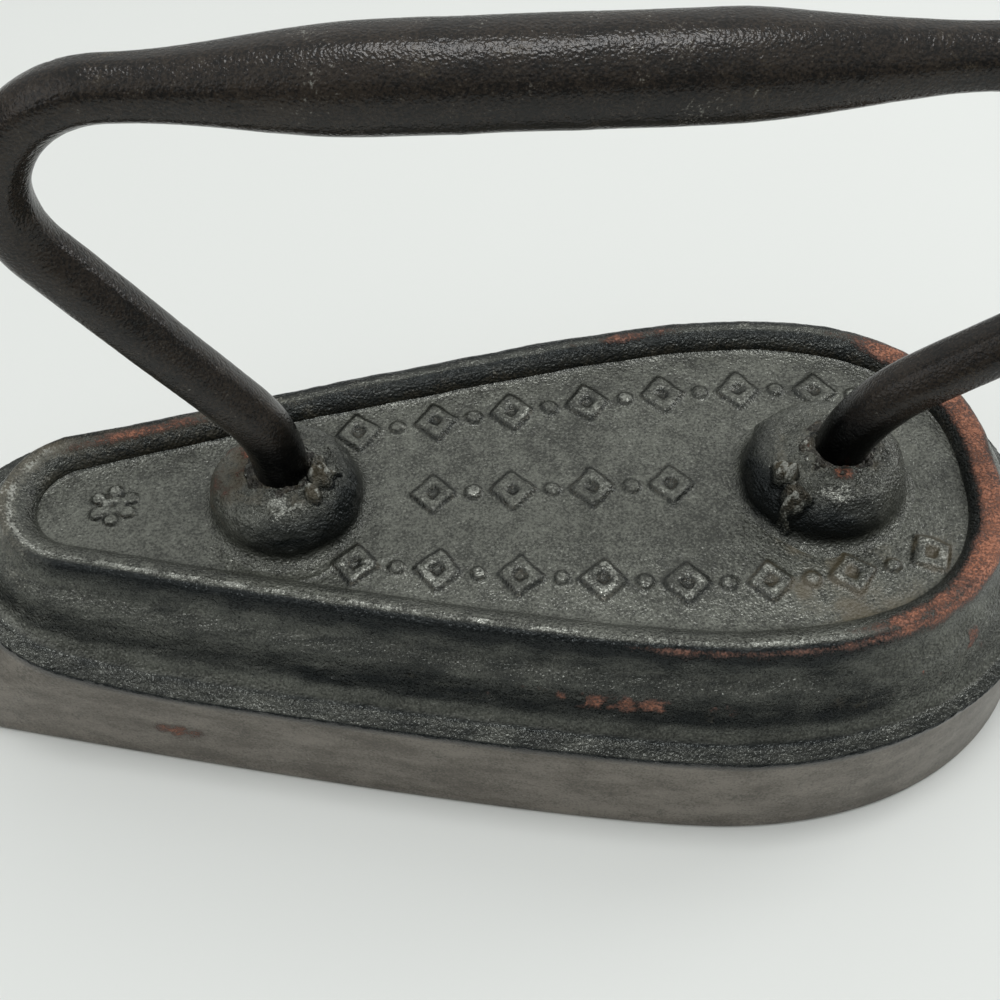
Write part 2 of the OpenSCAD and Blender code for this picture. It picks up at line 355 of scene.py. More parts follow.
@dataclass(frozen=True)
class Outline:
    """A level outline of the body: a round toe, nearly straight sides and a round heel.

    Attributes:
        toe_x: Station of the toe.
        toe_r: Radius of the toe.
        heel_x: Station of the heel.
        half_w: Half width at the widest station.
        power: Squareness of the heel, where 2 is a plain ellipse.
        widest_x: Station of the greatest width.
    """

    toe_x: float
    toe_r: float
    heel_x: float
    half_w: float
    power: float
    widest_x: float

    HEEL_STEPS = 112
    SIDE_STEPS = 156
    TOE_STEPS = 52
    SIDE_EASE = 0.21

    def inset(self, depth: float) -> "Outline":
        """This outline drawn in by a depth on every side."""
        return replace(
            self,
            toe_x=self.toe_x + depth,
            toe_r=self.toe_r - depth,
            heel_x=self.heel_x - depth,
            half_w=self.half_w - depth,
        )

    def toward(self, other: "Outline", share: float) -> "Outline":
        """The outline that lies a share of the way from this one to another."""

        def mix(name: str) -> float:
            """One size, part of the way."""
            return getattr(self, name) + share * (getattr(other, name) - getattr(self, name))

        names = ("toe_x", "toe_r", "heel_x", "half_w", "power")
        return replace(self, **{name: mix(name) for name in names})

    def half(self) -> Array:
        """The upper half, from the heel's middle to the toe's.

        The heel's quarter is a superellipse, the side a cubic curve that leaves the widest
        station level and runs straight into the toe's arc.

        Returns:
            Rows of x and y.
        """
        toe_c = self.toe_x + self.toe_r
        turn = math.acos((self.toe_r - self.half_w) / (self.widest_x - toe_c))
        start = np.array([self.widest_x, self.half_w])
        end = np.array([toe_c + self.toe_r * math.cos(turn), self.toe_r * math.sin(turn)])
        eased = start - [self.SIDE_EASE * np.linalg.norm(start - end), 0]
        a = np.linspace(0, math.pi / 2, self.HEEL_STEPS + 1)
        heel = np.stack(
            [
                self.widest_x + (self.heel_x - self.widest_x) * np.cos(a).clip(0) ** (2 / self.power),
                self.half_w * np.sin(a) ** (2 / self.power),
            ],
            axis=-1,
        )
        t = np.linspace(0, 1, self.SIDE_STEPS + 1)[1:, None]
        side = (1 - t) ** 3 * start + 3 * (1 - t) ** 2 * t * eased
        side = side + (3 * (1 - t) * t**2 + t**3) * end
        b = np.linspace(turn, math.pi, self.TOE_STEPS + 1)[1:]
        toe = np.stack([toe_c + self.toe_r * np.cos(b), self.toe_r * np.sin(b)], axis=-1)
        return np.concatenate([heel, side, toe])

    def loop(self) -> Array:
        """The whole outline, from the heel's middle over the left side and back."""
        half = self.half()
        return np.concatenate([half, half[-2:0:-1] * [1, -1]])


@dataclass
class BodyShape:
    """Sizes of the casting, shared by the body, the deck and the bosses.

    Attributes:
        at: Stations read from the frame.
    """

    at: Stations
    sole_toe_r: float = 18.0
    heel_len: float = 48.4
    sole_power: float = 2.15
    sole_bevel: float = 0.5
    flank_h: float = 18.5
    lip_rise: float = 8.0
    lip_rise_run: float = 35.0
    toe_slope: float = 14.7
    lip_toe_r: float = 22.7
    lip_overhang: float = 0.5
    lip_edge_h: float = 1.1
    body_h: float = 34.0
    rim_side_inset: float = 10.8
    rim_heel_inset: float = 11.3
    rim_toe_inset: float = 10.5
    rim_toe_r: float = 10.2
    rim_power: float = 2.5
    bead_out: float = 1.9
    bead_drop: float = 1.7
    bead_in: float = 3.1
    deck_drop: float = 2.6
    shoulder_out: float = 5.0
    shoulder_drop: float = 6.4

    def __post_init__(self) -> None:
        """Works out the three outlines that the rest is drawn between."""
        at = self.at
        widest_x = at.heel_x - self.heel_len
        self.deck_z = self.body_h - self.deck_drop
        self.sole = Outline(at.toe_x, self.sole_toe_r, at.heel_x, at.half_w, self.sole_power, widest_x)
        self.lip = replace(self.sole, toe_x=at.toe_x + self.toe_slope, toe_r=self.lip_toe_r)
        self.rim = Outline(
            self.lip.toe_x + self.rim_toe_inset,
            self.rim_toe_r,
            at.heel_x - self.rim_heel_inset,
            at.half_w - self.rim_side_inset,
            self.rim_power,
            widest_x,
        )

    def ring(self, outline: Outline, z: float, rise: float = 0.0) -> Array:
        """An outline at a height, climbing towards the toe with the square of the distance.

        Args:
            outline: The level outline.
            z: Height along the sides.
            rise: How much higher its toe stands.

        Returns:
            Points round the ring.
        """
        flat = outline.loop()
        climb = np.clip((outline.toe_x + self.lip_rise_run - flat[:, 0]) / self.lip_rise_run, 0, None)
        return np.column_stack([flat, z + rise * climb**2])

    def ring_out(self, out: float, z: float) -> Array:
        """A ring on the cove, out from the rim's crest, or inside the rim where out is negative."""
        if out < 0:
            return self.ring(self.rim.inset(-out), z)
        share = out / self.rim_side_inset
        return self.ring(self.rim.toward(self.lip, share), z, self.lip_rise * share)


@dataclass
class IronBody:
    """The casting's outer skin: sole, ground flank, lip, cove, rim and the rim's inner slope.

    Attributes:
        shape: The casting's sizes.
    """

    shape: BodyShape
    flank_rows: int = 16
    lip_rows: int = 7
    cove_rows: int = 30
    wall_rows: int = 16
    bead_rows: int = 9
    slope_rows: int = 10
    hidden_depth: float = 1.0
    lip_round: float = 0.75
    lip_ridge: float = 0.08
    lip_groove: float = 0.15
    bead_square: float = 0.8
    shoulder_rounds: int = 14

    def cove_section(self) -> Array:
        """Section from the lip to the crest, as rows of distance out from the crest and height.

        The lip's edge is a quarter round, the cove and the wall above it are hollow quadratic
        curves that meet at the rounded shoulder, and the bead's outside is a quarter of a
        superellipse. A ridge and a groove run along the lip.
        """
        s = self.shape
        lip_out, lip_z = s.rim_side_inset, s.flank_h
        turn = np.radians(np.linspace(-35, 90, self.lip_rows))
        middle = np.array([lip_out - self.lip_round, lip_z + self.lip_round * 0.6])
        lip = middle + self.lip_round * np.stack([np.cos(turn), np.sin(turn)], axis=-1)
        shoulder = np.array([s.shoulder_out, s.body_h - s.shoulder_drop])
        edge = np.array([s.bead_out, s.body_h - s.bead_drop])
        t = np.linspace(0, 1, self.cove_rows + 1)[1:, None]
        pull = np.array([s.shoulder_out + 0.6, lip_z + s.lip_edge_h + 1.6])
        cove = (1 - t) ** 2 * lip[-1] + 2 * t * (1 - t) * pull + t**2 * shoulder
        out = cove[:, 0]
        cove[:, 1] += self.lip_ridge * bell(out, 9.3, 0.8) - self.lip_groove * bell(out, 8.1, 0.7)
        t = np.linspace(0, 1, self.wall_rows + 1)[1:, None]
        pull = np.array([s.bead_out + 0.7, shoulder[1] + 1.3])
        wall = (1 - t) ** 2 * shoulder + 2 * t * (1 - t) * pull + t**2 * edge
        a = np.radians(np.linspace(90, 0, self.bead_rows + 1)[1:])
        fall = s.bead_drop * (1 - np.cos(a) ** self.bead_square)
        bead = np.stack([s.bead_out * np.sin(a) ** self.bead_square, s.body_h - fall], axis=-1)
        section = np.concatenate([lip, cove, wall, bead])
        near = bell(section[1:-1, 0], s.shoulder_out, 1.6)[:, None]
        for _ in range(self.shoulder_rounds):
            section[1:-1] += near * (section[:-2] / 2 + section[2:] / 2 - section[1:-1])
        return section

    def rings(self) -> tuple[Array, Array, Array]:
        """All rings from the sole up, and the section's coordinates of each.

        Returns:
            The rings, and for each ring its distance out from the crest, where the sole and
            the flank have the lip's distance and more, and its height along the sides.
        """
        s = self.shape
        rows = [s.ring(s.sole.inset(s.sole_bevel), 0.0), s.ring(s.sole.inset(0.15), 0.12)]
        outs = [20.0, 20.0]
        heights = [0.0, 0.12]
        top = s.lip.inset(s.lip_overhang)
        for share in np.linspace(0, 1, self.flank_rows):
            z = s.sole_bevel + share * (s.flank_h - s.lip_overhang - s.sole_bevel)
            rows.append(s.ring(s.sole.toward(top, share), z, s.lip_rise * share))
            outs.append(16.0 - 3 * share)
            heights.append(z)
        slope = np.radians(np.linspace(0, 90, self.slope_rows + 1)[1:])
        inside = np.stack([-s.bead_in * np.sin(slope), s.body_h - s.deck_drop * (1 - np.cos(slope))], -1)
        last = [[-s.bead_in, s.deck_z - self.hidden_depth]]
        for out, z in np.concatenate([self.cove_section(), inside, last]):
            rows.append(s.ring_out(out, z))
            outs.append(out)
            heights.append(z)
        return np.array(rows), np.array(outs), np.array(heights)

    def relief(self, points: Array, out: Array) -> Array:
        """How far the rough casting stands proud of its rings, in millimetres.

        Args:
            points: The rings.
            out: Distance out from the crest of each ring, as a column.

        Returns:
            Heights along the normals: long swells and short lumps on the cast part, ragged
            bites out of the lip's edge, and next to nothing on the ground flank.
        """
        lip = self.shape.rim_side_inset
        cast = smooth(lip + 0.6, lip - 0.4, out)
        edge = bell(out, lip - 0.1, 0.7)
        shoulder = bell(out, self.shape.shoulder_out + 0.7, 1.3)
        crest = bell(out, 0.2, 1.6)
        wall = smooth(0.8, 2.0, out) * smooth(lip - 1.4, lip - 3.0, out)
        swell = 0.16 * CAST_GRAIN.lumps(points, 13.0) + 0.07 * CAST_GRAIN.lumps(points, 4.1)
        streaks = 0.09 * wall * CAST_GRAIN.layered(points * [0.22, 0.8, 1], 2.1, 3)
        rough = CAST_GRAIN.layered(points, 1.9, 3)
        bites = np.abs(CAST_GRAIN.layered(points, 1.4, 3)) + 0.4 * np.abs(CAST_GRAIN.lumps(points, 6.0))
        ground = -0.03 * np.abs(CAST_GRAIN.lumps(points, 9.0)) * (1 - cast)
        lumps = (0.03 + 0.12 * shoulder + 0.06 * edge + 0.07 * crest) * rough
        height = cast * (swell + streaks + lumps) + ground - 0.3 * edge * bites
        inward = smooth(lip - 2.2, lip - 0.8, out)
        return height * (1 - inward) + np.minimum(height - 0.1, 0) * inward

    def rust(self, points: Array, out: Array) -> Array:
        """Where rust sits: round the heel's rim, in spots on the far rim and at the shoulder.

        Args:
            points: The rings.
            out: Distance out from the crest of each ring, as a column.

        Returns:
            Shares from 0 to 1.
        """
        x, y = points[..., 0], points[..., 1]
        crest = bell(out, -0.3, 1.4 + 0.4 * smooth(56, 70, x))
        outer = bell(out, 1.5, 0.55)
        blotch = RUST_GRAIN.layered(points, 6.0, 3)
        heel = (1.3 - 0.3 * smooth(-8, -22, y)) * smooth(46, 71, x - 0.1 * y) * crest
        near_rim = smooth(14, 27, x) * smooth(0, -10, y) * outer * 0.48
        far_toe = bell(x, -46, 17) * smooth(2, 8, y) * crest * 0.61
        far_heel = bell(x, 31, 16) * smooth(0, 10, y) * crest * (0.42 + 0.3 * blotch)
        shoulder_line = bell(out, self.shape.shoulder_out + 0.5, 0.62)
        spots = smooth(-0.2, 0.5, RUST_GRAIN.layered(points, 3.4, 3) + 0.5 * bell(x, 19, 11) - 0.2)
        shoulder = shoulder_line * smooth(0, -8, y) * spots * smooth(-8, 6, x) * smooth(48, 30, x)
        heel_wall = bell(out, self.shape.shoulder_out - 0.2, 1.5) * smooth(54, 62, x) * smooth(8, -4, y)
        heel_spots = heel_wall * smooth(0.0, 0.45, RUST_GRAIN.layered(points + 9, 3.0, 3)) * 0.6
        total = heel * (0.85 + 0.3 * blotch) + near_rim + far_toe + far_heel
        return total + 0.66 * shoulder + heel_spots + self.smear(points, out)

    def smear(self, points: Array, out: Array) -> Array:
        """A small red-brown smear on the near side of the ground flank."""
        x, y, z = np.moveaxis(points, -1, 0)
        spot = bell(x, -42, 4.6) * bell(z, 7.9 + 1.6 * np.abs(np.sin(1.1 * x)), 2.2)
        return 0.66 * spot * smooth(0, -8, y) * smooth(self.shape.rim_side_inset, 12.5, out)

    def build(self) -> Piece:
        """Builds the outer skin and its masks."""
        s = self.shape
        rings, outs, heights = self.rings()
        out, level = outs[:, None], heights[:, None]
        x, y = rings[..., 0], rings[..., 1]
        points = rings + normals(rings) * self.relief(rings, out)[..., None]
        points[:3] = rings[:3]
        around = rings.shape[1]
        faces = opposite_cap(0, around, upward=False) + skin(*rings.shape[:2])
        faces += opposite_cap((len(rings) - 1) * around, around, upward=True)
        lip = s.rim_side_inset
        wear = CAST_GRAIN.layered(rings, 5.0, 3)
        streaks = CAST_GRAIN.layered(rings * [0.2, 0.7, 1], 1.5, 3)
        wall = smooth(0.5, 1.2, out) * smooth(lip - 1.9, lip - 2.6, out)
        cove = smooth(s.shoulder_out + 1.2, s.shoulder_out + 2.2, out)
        # Painted shade in dark bands under the crest, below the shoulder and in the groove above the lip.
        bands = 0.85 * bell(out, 1.3, 0.7) + 0.3 * bell(out, s.shoulder_out + 0.9, 0.8)
        bands = bands + 0.35 * bell(out, lip - 2.6, 0.35)
        on_lip = smooth(lip - 2.9, lip - 1.9, out)
        # Painted shadow in the undercut below the lip's overhang.
        under = smooth(s.flank_h + 1.0, s.flank_h + 0.5, level) * smooth(s.flank_h - 1.0, s.flank_h - 0.4, level)
        slope = smooth(-0.3, -1.1, out)
        far = smooth(-4, 10, y)
        far_toe = bell(x, -44, 18) * smooth(2, 8, y) * bell(out, -0.2, 1.7)
        # Painted highlight along the rim's crest, with rubbed wear, fainter on the far side.
        crest = bell(out, 0.2, 0.34) * (1 - 0.65 * far)
        toe = smooth(-54, -66, x) * bell(out, 1.2, 2.4)
        # Soot and painted shade are thinned at the toe and at the heel end, whose cove is left lighter as a painted
        # reflection.
        bare = (1 - 0.8 * toe) * (1 - 0.85 * smooth(50, 70, x)) * (1 - 0.25 * smooth(-12, -45, x))
        # Painted shade on the rim's inner slope, strongest on the far side and round the heel, less at the toe.
        shade = np.maximum(far, smooth(52, 64, x) * smooth(-28, -16, y)) * (1 - 0.6 * smooth(-46, -62, x))
        # Darker along the far side's crest.
        bands = bands + 0.5 * far * bell(out, 0.5, 1.4)
        hill = bell(out, s.shoulder_out + 0.2, 1.7)
        # On the wall the sooty black is partly its dark skin and partly a painted dark reflection.
        masks = {
            Mask.GROUND: smooth(lip + 0.6, lip + 1.6, out) * (1 - under) * np.ones_like(x),
            Mask.SOOT_AND_SHADE: (wall * (0.5 - 0.2 * cove + (0.12 - 0.08 * cove) * wear) + bands) * bare
            + (0.14 - 0.11 * cove) * wall * streaks
            + 1.3 * under
            + (0.54 + 0.12 * streaks) * on_lip
            + (0.35 + 0.4 * shade) * slope,
            Mask.POLISH_AND_GLINT: crest * (0.8 + 0.4 * wear) + 0.3 * toe + 0.1 * on_lip * smooth(lip + 0.4, lip - 0.4, out)
            + 0.2 * far_toe,
            Mask.RUST: self.rust(rings, out),
            Mask.DIRT: 0.6 * toe
            + 0.25 * bell(out, -s.bead_in, 0.8)
            + 0.2 * slope * far
            + 0.4 * far_toe
            + 0.35 * far * bell(out, 0.4, 1.4) * (0.7 + 0.5 * wear)
            + 0.35 * hill * smooth(4, -6, y) * (0.3 + wear),
            Mask.COARSE: 0.5 - 0.35 * cove + 0.4 * hill + 0.5 * crest + 0.45 * on_lip,
        }
        return Piece("iron_body", "body_casting", Slot.CAST, points, faces, masks)


@dataclass
class DeckFace:
    """The sunk deck inside the rim, with its raised ornament of lozenges, beads and a flower.

    Attributes:
        shape: The casting's sizes.
    """

    shape: BodyShape
    row_step: float = 0.31
    columns: int = 164
    edge_inset: float = 2.6
    hidden_depth: float = 0.9
    relief_h: float = 0.7
    lozenge_len: float = 6.4
    lozenge_w: float = 7.0
    pellet_d: float = 2.4
    motif_pitch: float = 11.6
    row_share: float = 0.61
    row_count: int = 8
    row_start: float = 10.0
    flower_d: float = 7.4
    flower_inset: float = 14.2
    boss_spacing: float = 78.0

    def grid(self) -> Array:
        """The deck's level grid: rows across it from heel to toe, each the width of the deck.

        Rows are spaced evenly in the sum of their steps along X and 0.3 of those along Y.

        Returns:
            Points at the deck's height.
        """
        half = self.shape.rim.inset(self.edge_inset).half()
        step = np.abs(np.diff(half, axis=0)) @ [1.0, 0.3]
        way = np.concatenate([[0.0], np.cumsum(step)])
        stops = np.linspace(step[0], way[-1] - step[-1], int(way[-1] / self.row_step))
        x = np.interp(stops, way, half[:, 0])
        reach = np.interp(stops, way, half[:, 1])
        share = np.linspace(-1, 1, self.columns)
        y = reach[:, None] * share
        return np.stack([np.broadcast_to(x[:, None], y.shape), y, np.full_like(y, self.shape.deck_z)], -1)

    def row_y(self, x: Array) -> Array:
        """Distance of an outer row from the axis at a station, in step with the rim."""
        half = self.shape.rim.half()[::-1]
        return self.row_share * np.interp(x, half[:, 0], half[:, 1])

    def lozenge_depth(self, x: Array, y: Array, middle: tuple[float, float], turn: float) -> Array:
        """Distance inwards from a lozenge's outline, in millimetres.

        With a and b as the shares of the half length and half width, it is (1 - |a| - |b|)
        times the radius of the circle that fits inside.

        Args:
            x: Stations.
            y: Distances from the axis.
            middle: The lozenge's middle.
            turn: Its turn from the axis, in radians.

        Returns:
            Positive inside and negative outside.
        """
        dx, dy = x - middle[0], y - middle[1]
        along = dx * math.cos(turn) + dy * math.sin(turn)
        beside = dy * math.cos(turn) - dx * math.sin(turn)
        half_len, half_w = self.lozenge_len / 2, self.lozenge_w / 2
        fits = half_len * half_w / math.hypot(half_len, half_w)
        return (1 - np.abs(along) / half_len - np.abs(beside) / half_w) * fits

    def motif_places(self) -> tuple[list, list]:
        """Places of the lozenges, with their turn, and of the beads between them."""
        front_x = self.shape.at.front_x
        stations = front_x + self.row_start + self.motif_pitch * np.arange(self.row_count)
        between = stations[:-1] + self.motif_pitch / 2
        turns = np.arctan((self.row_y(stations + 1) - self.row_y(stations - 1)) / 2)
        lozenges, beads = [], []
        for side in (1, -1):
            lozenges += zip(stations, side * self.row_y(stations), side * turns)
            beads += zip(between, side * self.row_y(between))
        middle = front_x + self.boss_spacing / 2 - 0.45
        for step in (-1.5, -0.5, 0.5, 1.5):
            lozenges.append((middle + step * self.motif_pitch, 0.0, 0.0))
        for step in (-1, 0, 1):
            beads.append((middle + step * self.motif_pitch, 0.0))
        return lozenges, beads

    def ornament(self, x: Array, y: Array) -> Array:
        """Height of the ornament as a share of its full relief.

        A lozenge is a raised border with a hollow inside it. A flower of six petals round a bead
        stands near the toe. Edges slope over about a millimetre.

        Args:
            x: Stations.
            y: Distances from the axis.

        Returns:
            Shares from 0 on the bare deck to 1 on the ornament's top.
        """
        lozenges, beads = self.motif_places()
        height = np.zeros_like(x)
        level = np.stack([x, y, np.zeros_like(x)], axis=-1)
        x = x + 0.3 * CAST_GRAIN.lumps(level, 2.9)
        y = y + 0.3 * CAST_GRAIN.lumps(level + 70, 2.9)
        for place_x, place_y, turn in lozenges:
            depth = self.lozenge_depth(x, y, (place_x, place_y), turn)
            height = np.maximum(height, smooth(-0.65, 0.45, depth) - 0.85 * smooth(1.1, 1.9, depth))
        for place_x, place_y in beads:
            centre = np.hypot(x - place_x, y - place_y)
            height = np.maximum(height, smooth(self.pellet_d / 2 + 0.3, self.pellet_d / 2 - 0.4, centre))
        flower_x = self.shape.rim.toe_x + self.flower_inset
        petal_r = 0.15 * self.flower_d
        petal_out = self.flower_d / 2 - petal_r
        for turn in np.radians(np.arange(30, 360, 60)):
            centre = np.hypot(x - flower_x - petal_out * np.cos(turn), y - petal_out * np.sin(turn))
            height = np.maximum(height, smooth(petal_r + 0.3, petal_r - 0.4, centre))
        centre = np.hypot(x - flower_x, y)
        bud = smooth(0.225 * self.flower_d + 0.3, 0.225 * self.flower_d - 0.3, centre)
        return self.eased(1.06 * np.maximum(height, bud - 0.45 * smooth(0.9, 0.3, centre)))

    def eased(self, share: Array) -> Array:
        """A grid in which each point has taken a quarter from both neighbours, along and across."""
        for axis in (0, 1):
            share = share / 2 + (np.roll(share, 1, axis) + np.roll(share, -1, axis)) / 4
        return share.clip(0, 1)

    def build(self) -> Piece:
        """Builds the deck as a thin closed slab with its relief on top."""
        s = self.shape
        grid = self.grid()
        x, y = grid[..., 0], grid[..., 1]
        raised = self.ornament(x, y)
        reach = np.abs(grid[:, -1:, 1])
        gap = reach - np.abs(y) - (s.bead_in - self.edge_inset)
        worn = smooth(-1.2, 0.9, CAST_GRAIN.lumps(grid, 11.0) + 0.3)
        ripple = 0.14 * CAST_GRAIN.lumps(grid, 8.0) + 0.03 * CAST_GRAIN.layered(grid, 3.4, 3)
        flow = self.flow_mark(x, y)
        top = grid.copy()
        top[..., 2] += self.relief_h * raised * (0.72 + 0.28 * worn) + ripple + 0.22 * flow
        top[..., 2] += 0.35 * np.exp(-np.clip(gap, 0, None) / 0.5)
        under = grid[:, [-1, 0]].copy()
        under[..., 2] = s.deck_z - self.hidden_depth
        points = np.concatenate([top, under], axis=1)
        rows, around = points.shape[:2]
        faces = split_level(skin(rows, around), points[..., 2].ravel()) + ring_cap(0, around, True)
        faces += ring_cap((rows - 1) * around, around, False)
        masks = {key: np.pad(share, ((0, 0), (0, 2))) for key, share in self.masks(grid, raised, gap).items()}
        return Piece("deck_face", "body_casting", Slot.CAST, points, faces, masks)

    def flow_mark(self, x: Array, y: Array) -> Array:
        """A thin ridge where the metal ran cold, curving away from the front boss."""
        dx, dy = x - self.shape.at.front_x, y
        turn = np.degrees(np.arctan2(dy, dx))
        radius = np.hypot(dx, dy)
        line = 14.2 + 0.16 * np.clip(turn + 60, 0, None) + 0.4 * np.sin(turn / 7)
        return bell(radius, line, 0.35) * smooth(-95, -75, turn) * smooth(-22, -38, turn)

    def masks(self, grid: Array, raised: Array, gap: Array) -> dict[Mask, Array]:
        """Shares for the deck's material.

        Args:
            grid: The level grid.
            raised: The ornament's height as a share.
            gap: Distance from the rim's inner slope.

        Returns:
            Masks of the grid's shape.
        """
        x, y = grid[..., 0], grid[..., 1]
        foot = self.eased(smooth(0.0, 0.3, raised) * smooth(1.0, 0.62, raised))
        blotch = RUST_GRAIN.layered(grid, 7.0, 3)
        heel_front = smooth(36, 52, x) * smooth(-4, -14, y)
        near_bosses = bell(np.hypot(x - self.shape.at.rear_x, y), 13.5, 2.0) * smooth(-0.2, 0.8, blotch)
        dirt = 0.45 * foot + heel_front * (0.35 + 0.4 * blotch) + 0.4 * near_bosses
        # Darker round the ornament's foot; a line of painted shade along the rim's inner edge, darker on the far
        # side; the ornament's tops lighter as rubbed wear and painted highlight.
        return {
            Mask.SOOT_AND_SHADE: 0.75 * foot + (0.45 + 0.15 * np.sign(y)) * np.exp(-np.clip(gap, 0, None) / 0.5),
            Mask.POLISH_AND_GLINT: 0.42 * smooth(0.7, 0.95, raised) * smooth(-0.9, 0.4, blotch),
            Mask.RUST: 0.35 * smooth(0.75, 1.2, blotch) * smooth(0.2, 0.9, raised),
            Mask.DIRT: dirt + 0.25 * smooth(0.5, 1.1, blotch),
            Mask.COARSE: np.full_like(x, 0.28),
        }


@dataclass(frozen=True)
class Spill:
    """One lump of spilt metal on a boss.

    Attributes:
        dx: Station behind the boss's axis.
        dy: Distance from the iron's axis, towards the far side.
        radius: Half of its width.
        height: Its height above the boss.
    """

    dx: float
    dy: float
    radius: float
    height: float


@dataclass
class Boss:
    """A rough boss on the deck that holds one end of the handle.

    Attributes:
        name: Name of the piece.
        shape: The casting's sizes.
        centre_x: Station of its axis.
        base_r: Radius where it meets the deck.
        seed_shift: Shift of its lumps, so that the bosses differ.
        inner: 1 where the other boss lies to the heel, -1 where it lies to the toe.
        glint: Middle of its patch of painted glints, from its axis.
        spills: Lumps of spilt metal on it.
        dark: Share of painted shade on the shaded side.
        browned: Share of brown on the side away from the other boss.
        stained: Share of rust in a stain in front of the neck.
    """

    name: str
    shape: BodyShape
    centre_x: float
    base_r: float
    seed_shift: float
    inner: int
    glint: tuple[float, float]
    spills: tuple[Spill, ...]
    dark: float
    browned: float
    stained: float
    stain: tuple[float, float] = (1.2, -4.7)
    top_r: float = 7.4
    top_fall: float = 1.7
    square: float = 0.97
    fillet: float = 1.7
    steps: int = 240

    def section(self) -> Array:
        """Rows of radius and height: a fillet, a quarter superellipse and a sloping top."""
        deck = self.shape.deck_z
        height = self.shape.at.boss_top - deck
        a = np.radians(np.linspace(0, 90, 8))
        fillet = np.stack([self.base_r + self.fillet * (1 - np.sin(a)), self.fillet * (1 - np.cos(a))], -1)
        b = np.radians(np.linspace(0, 90, 34))
        flank = np.stack(
            [
                self.top_r + (self.base_r - self.top_r) * np.cos(b).clip(0) ** self.square,
                self.fillet + (height - self.fillet - self.top_fall) * np.sin(b) ** self.square,
            ],
            axis=-1,
        )
        top_radii = np.linspace(self.top_r, 1.0, 24)[1:]
        top_z = height - self.top_fall * smooth(self.top_r - 5.2, self.top_r + 2.0, top_radii)
        flank[:, 1] += (top_z[0] - flank[-1, 1]) * np.sin(b)
        top = np.stack([top_radii, top_z], axis=-1)
        foot = np.array([[self.base_r + self.fillet + 1.0, -0.7], [self.base_r + self.fillet + 0.5, -0.12]])
        return np.concatenate([foot, fillet, flank[1:], top]) + [0, deck]

    def build(self) -> Piece:
        """Turns the section and roughens it, most of all on top."""
        section = self.section()
        turn = np.linspace(0, 2 * math.pi, self.steps, endpoint=False)
        radius, z = section[:, :1], section[:, 1:]
        rings = np.stack(
            [
                self.centre_x + radius * np.cos(turn),
                radius * np.sin(turn),
                np.broadcast_to(z, (len(section), self.steps)),
            ],
            axis=-1,
        )
        share = smooth(0.3, 3.0, z - self.shape.deck_z)
        top = smooth(self.base_r - 1.2, self.top_r - 1.0, radius) * share
        moved = rings + self.seed_shift
        shoulder = bell(radius, self.top_r + 0.6, 2.4) * share
        lumps = 0.4 * CAST_GRAIN.layered(moved, 5.2, 3) - 0.5 * shoulder * np.abs(CAST_GRAIN.lumps(moved + 11, 3.6))
        grit = (0.09 + 0.13 * top) * CAST_GRAIN.layered(moved, 1.9, 3)
        pits = 0.25 * top * smooth(0.35, 0.9, CAST_GRAIN.layered(moved + 31, 2.2, 2))
        sink = -0.35 * top * (0.5 + 0.5 * np.cos(turn - 2.2))
        spilt = self.spilt(rings)
        height = share * (lumps + grit - pits + sink)
        points = rings + normals(rings) * height[..., None]
        crumbs = CAST_GRAIN.crumbs(moved, 1.3)
        points[..., 2] += spilt * (0.75 + 0.9 * crumbs + 0.4 * CAST_GRAIN.lumps(moved, 0.8))
        rows = len(rings)
        faces = skin(rows, self.steps) + ring_cap(0, self.steps, True)
        faces += ring_cap((rows - 1) * self.steps, self.steps, False)
        side, away = np.cos(turn) * self.inner, np.sin(turn)
        # Sides that take painted shade: the near side and the side under the handle, towards the other boss.
        shaded = smooth(0.1, 0.9, 0.45 * side - 0.8 * away) + 0.6 * smooth(0.6, 1.0, side)
        blotch = RUST_GRAIN.layered(moved, 3.5, 3)
        # A patch of painted glints on the near top.
        patch = np.hypot((rings[..., 0] - self.centre_x - self.glint[0]) / 1.7, rings[..., 1] - self.glint[1])
        patch = bell(patch, 0.0, 2.3) * smooth(-0.9, 0.3, CAST_GRAIN.layered(moved, 1.9, 3))
        brown = smooth(0.0, 0.8, -side) * smooth(-0.9, -0.3, away) * share * self.browned
        bare = (1 - spilt).clip(0, 1)
        # Painted shade in the crevice round each spilt lump and on its lower sides, painted glints on its tops.
        crevice = bell(spilt, 0.35, 0.3)
        stain = np.hypot(rings[..., 0] - self.centre_x - self.stain[0], 1.6 * (rings[..., 1] - self.stain[1]))
        stain = bell(stain, 0.0, 2.1) * self.stained
        tops = spilt * smooth(0.4, 0.75, crumbs)
        # Painted shade on the flank and foot ring, painted light on the lit side.
        masks = {
            Mask.SOOT_AND_SHADE: (share * (1 - top) + 0.5 * bell(radius, self.base_r, 1.1)) * self.dark * shaded * bare
            + 0.9 * crevice
            + 0.4 * (spilt - tops),
            Mask.POLISH_AND_GLINT: 0.9 * patch + 0.18 * share * (1 - shaded).clip(0) + 0.5 * tops - 0.6 * crevice,
            Mask.RUST: 0.35 * top * smooth(0.3, 1.0, blotch) + brown * (0.32 + 0.3 * blotch) + stain,
            Mask.DIRT: 0.75 * top * (0.4 + 0.5 * blotch) + 0.8 * brown * (0.7 + 0.4 * blotch) + 0.3 * spilt,
            Mask.COARSE: 0.55 + 0.35 * top + 0.5 * patch + 0.4 * (1 - bare),
        }
        return Piece(self.name, "body_casting", Slot.CAST, points, faces, masks)

    def spilt(self, points: Array) -> Array:
        """Height of the spilt metal: a flat-topped bell round each lump's middle."""
        height = np.zeros(points.shape[:-1])
        for spill in self.spills:
            way = np.hypot(points[..., 0] - self.centre_x - spill.dx, points[..., 1] - spill.dy)
            way = way * (1 + 0.5 * CAST_GRAIN.lumps(points, 1.6))
            height = np.maximum(height, spill.height * np.exp(-((way / spill.radius) ** 6)))
        return height


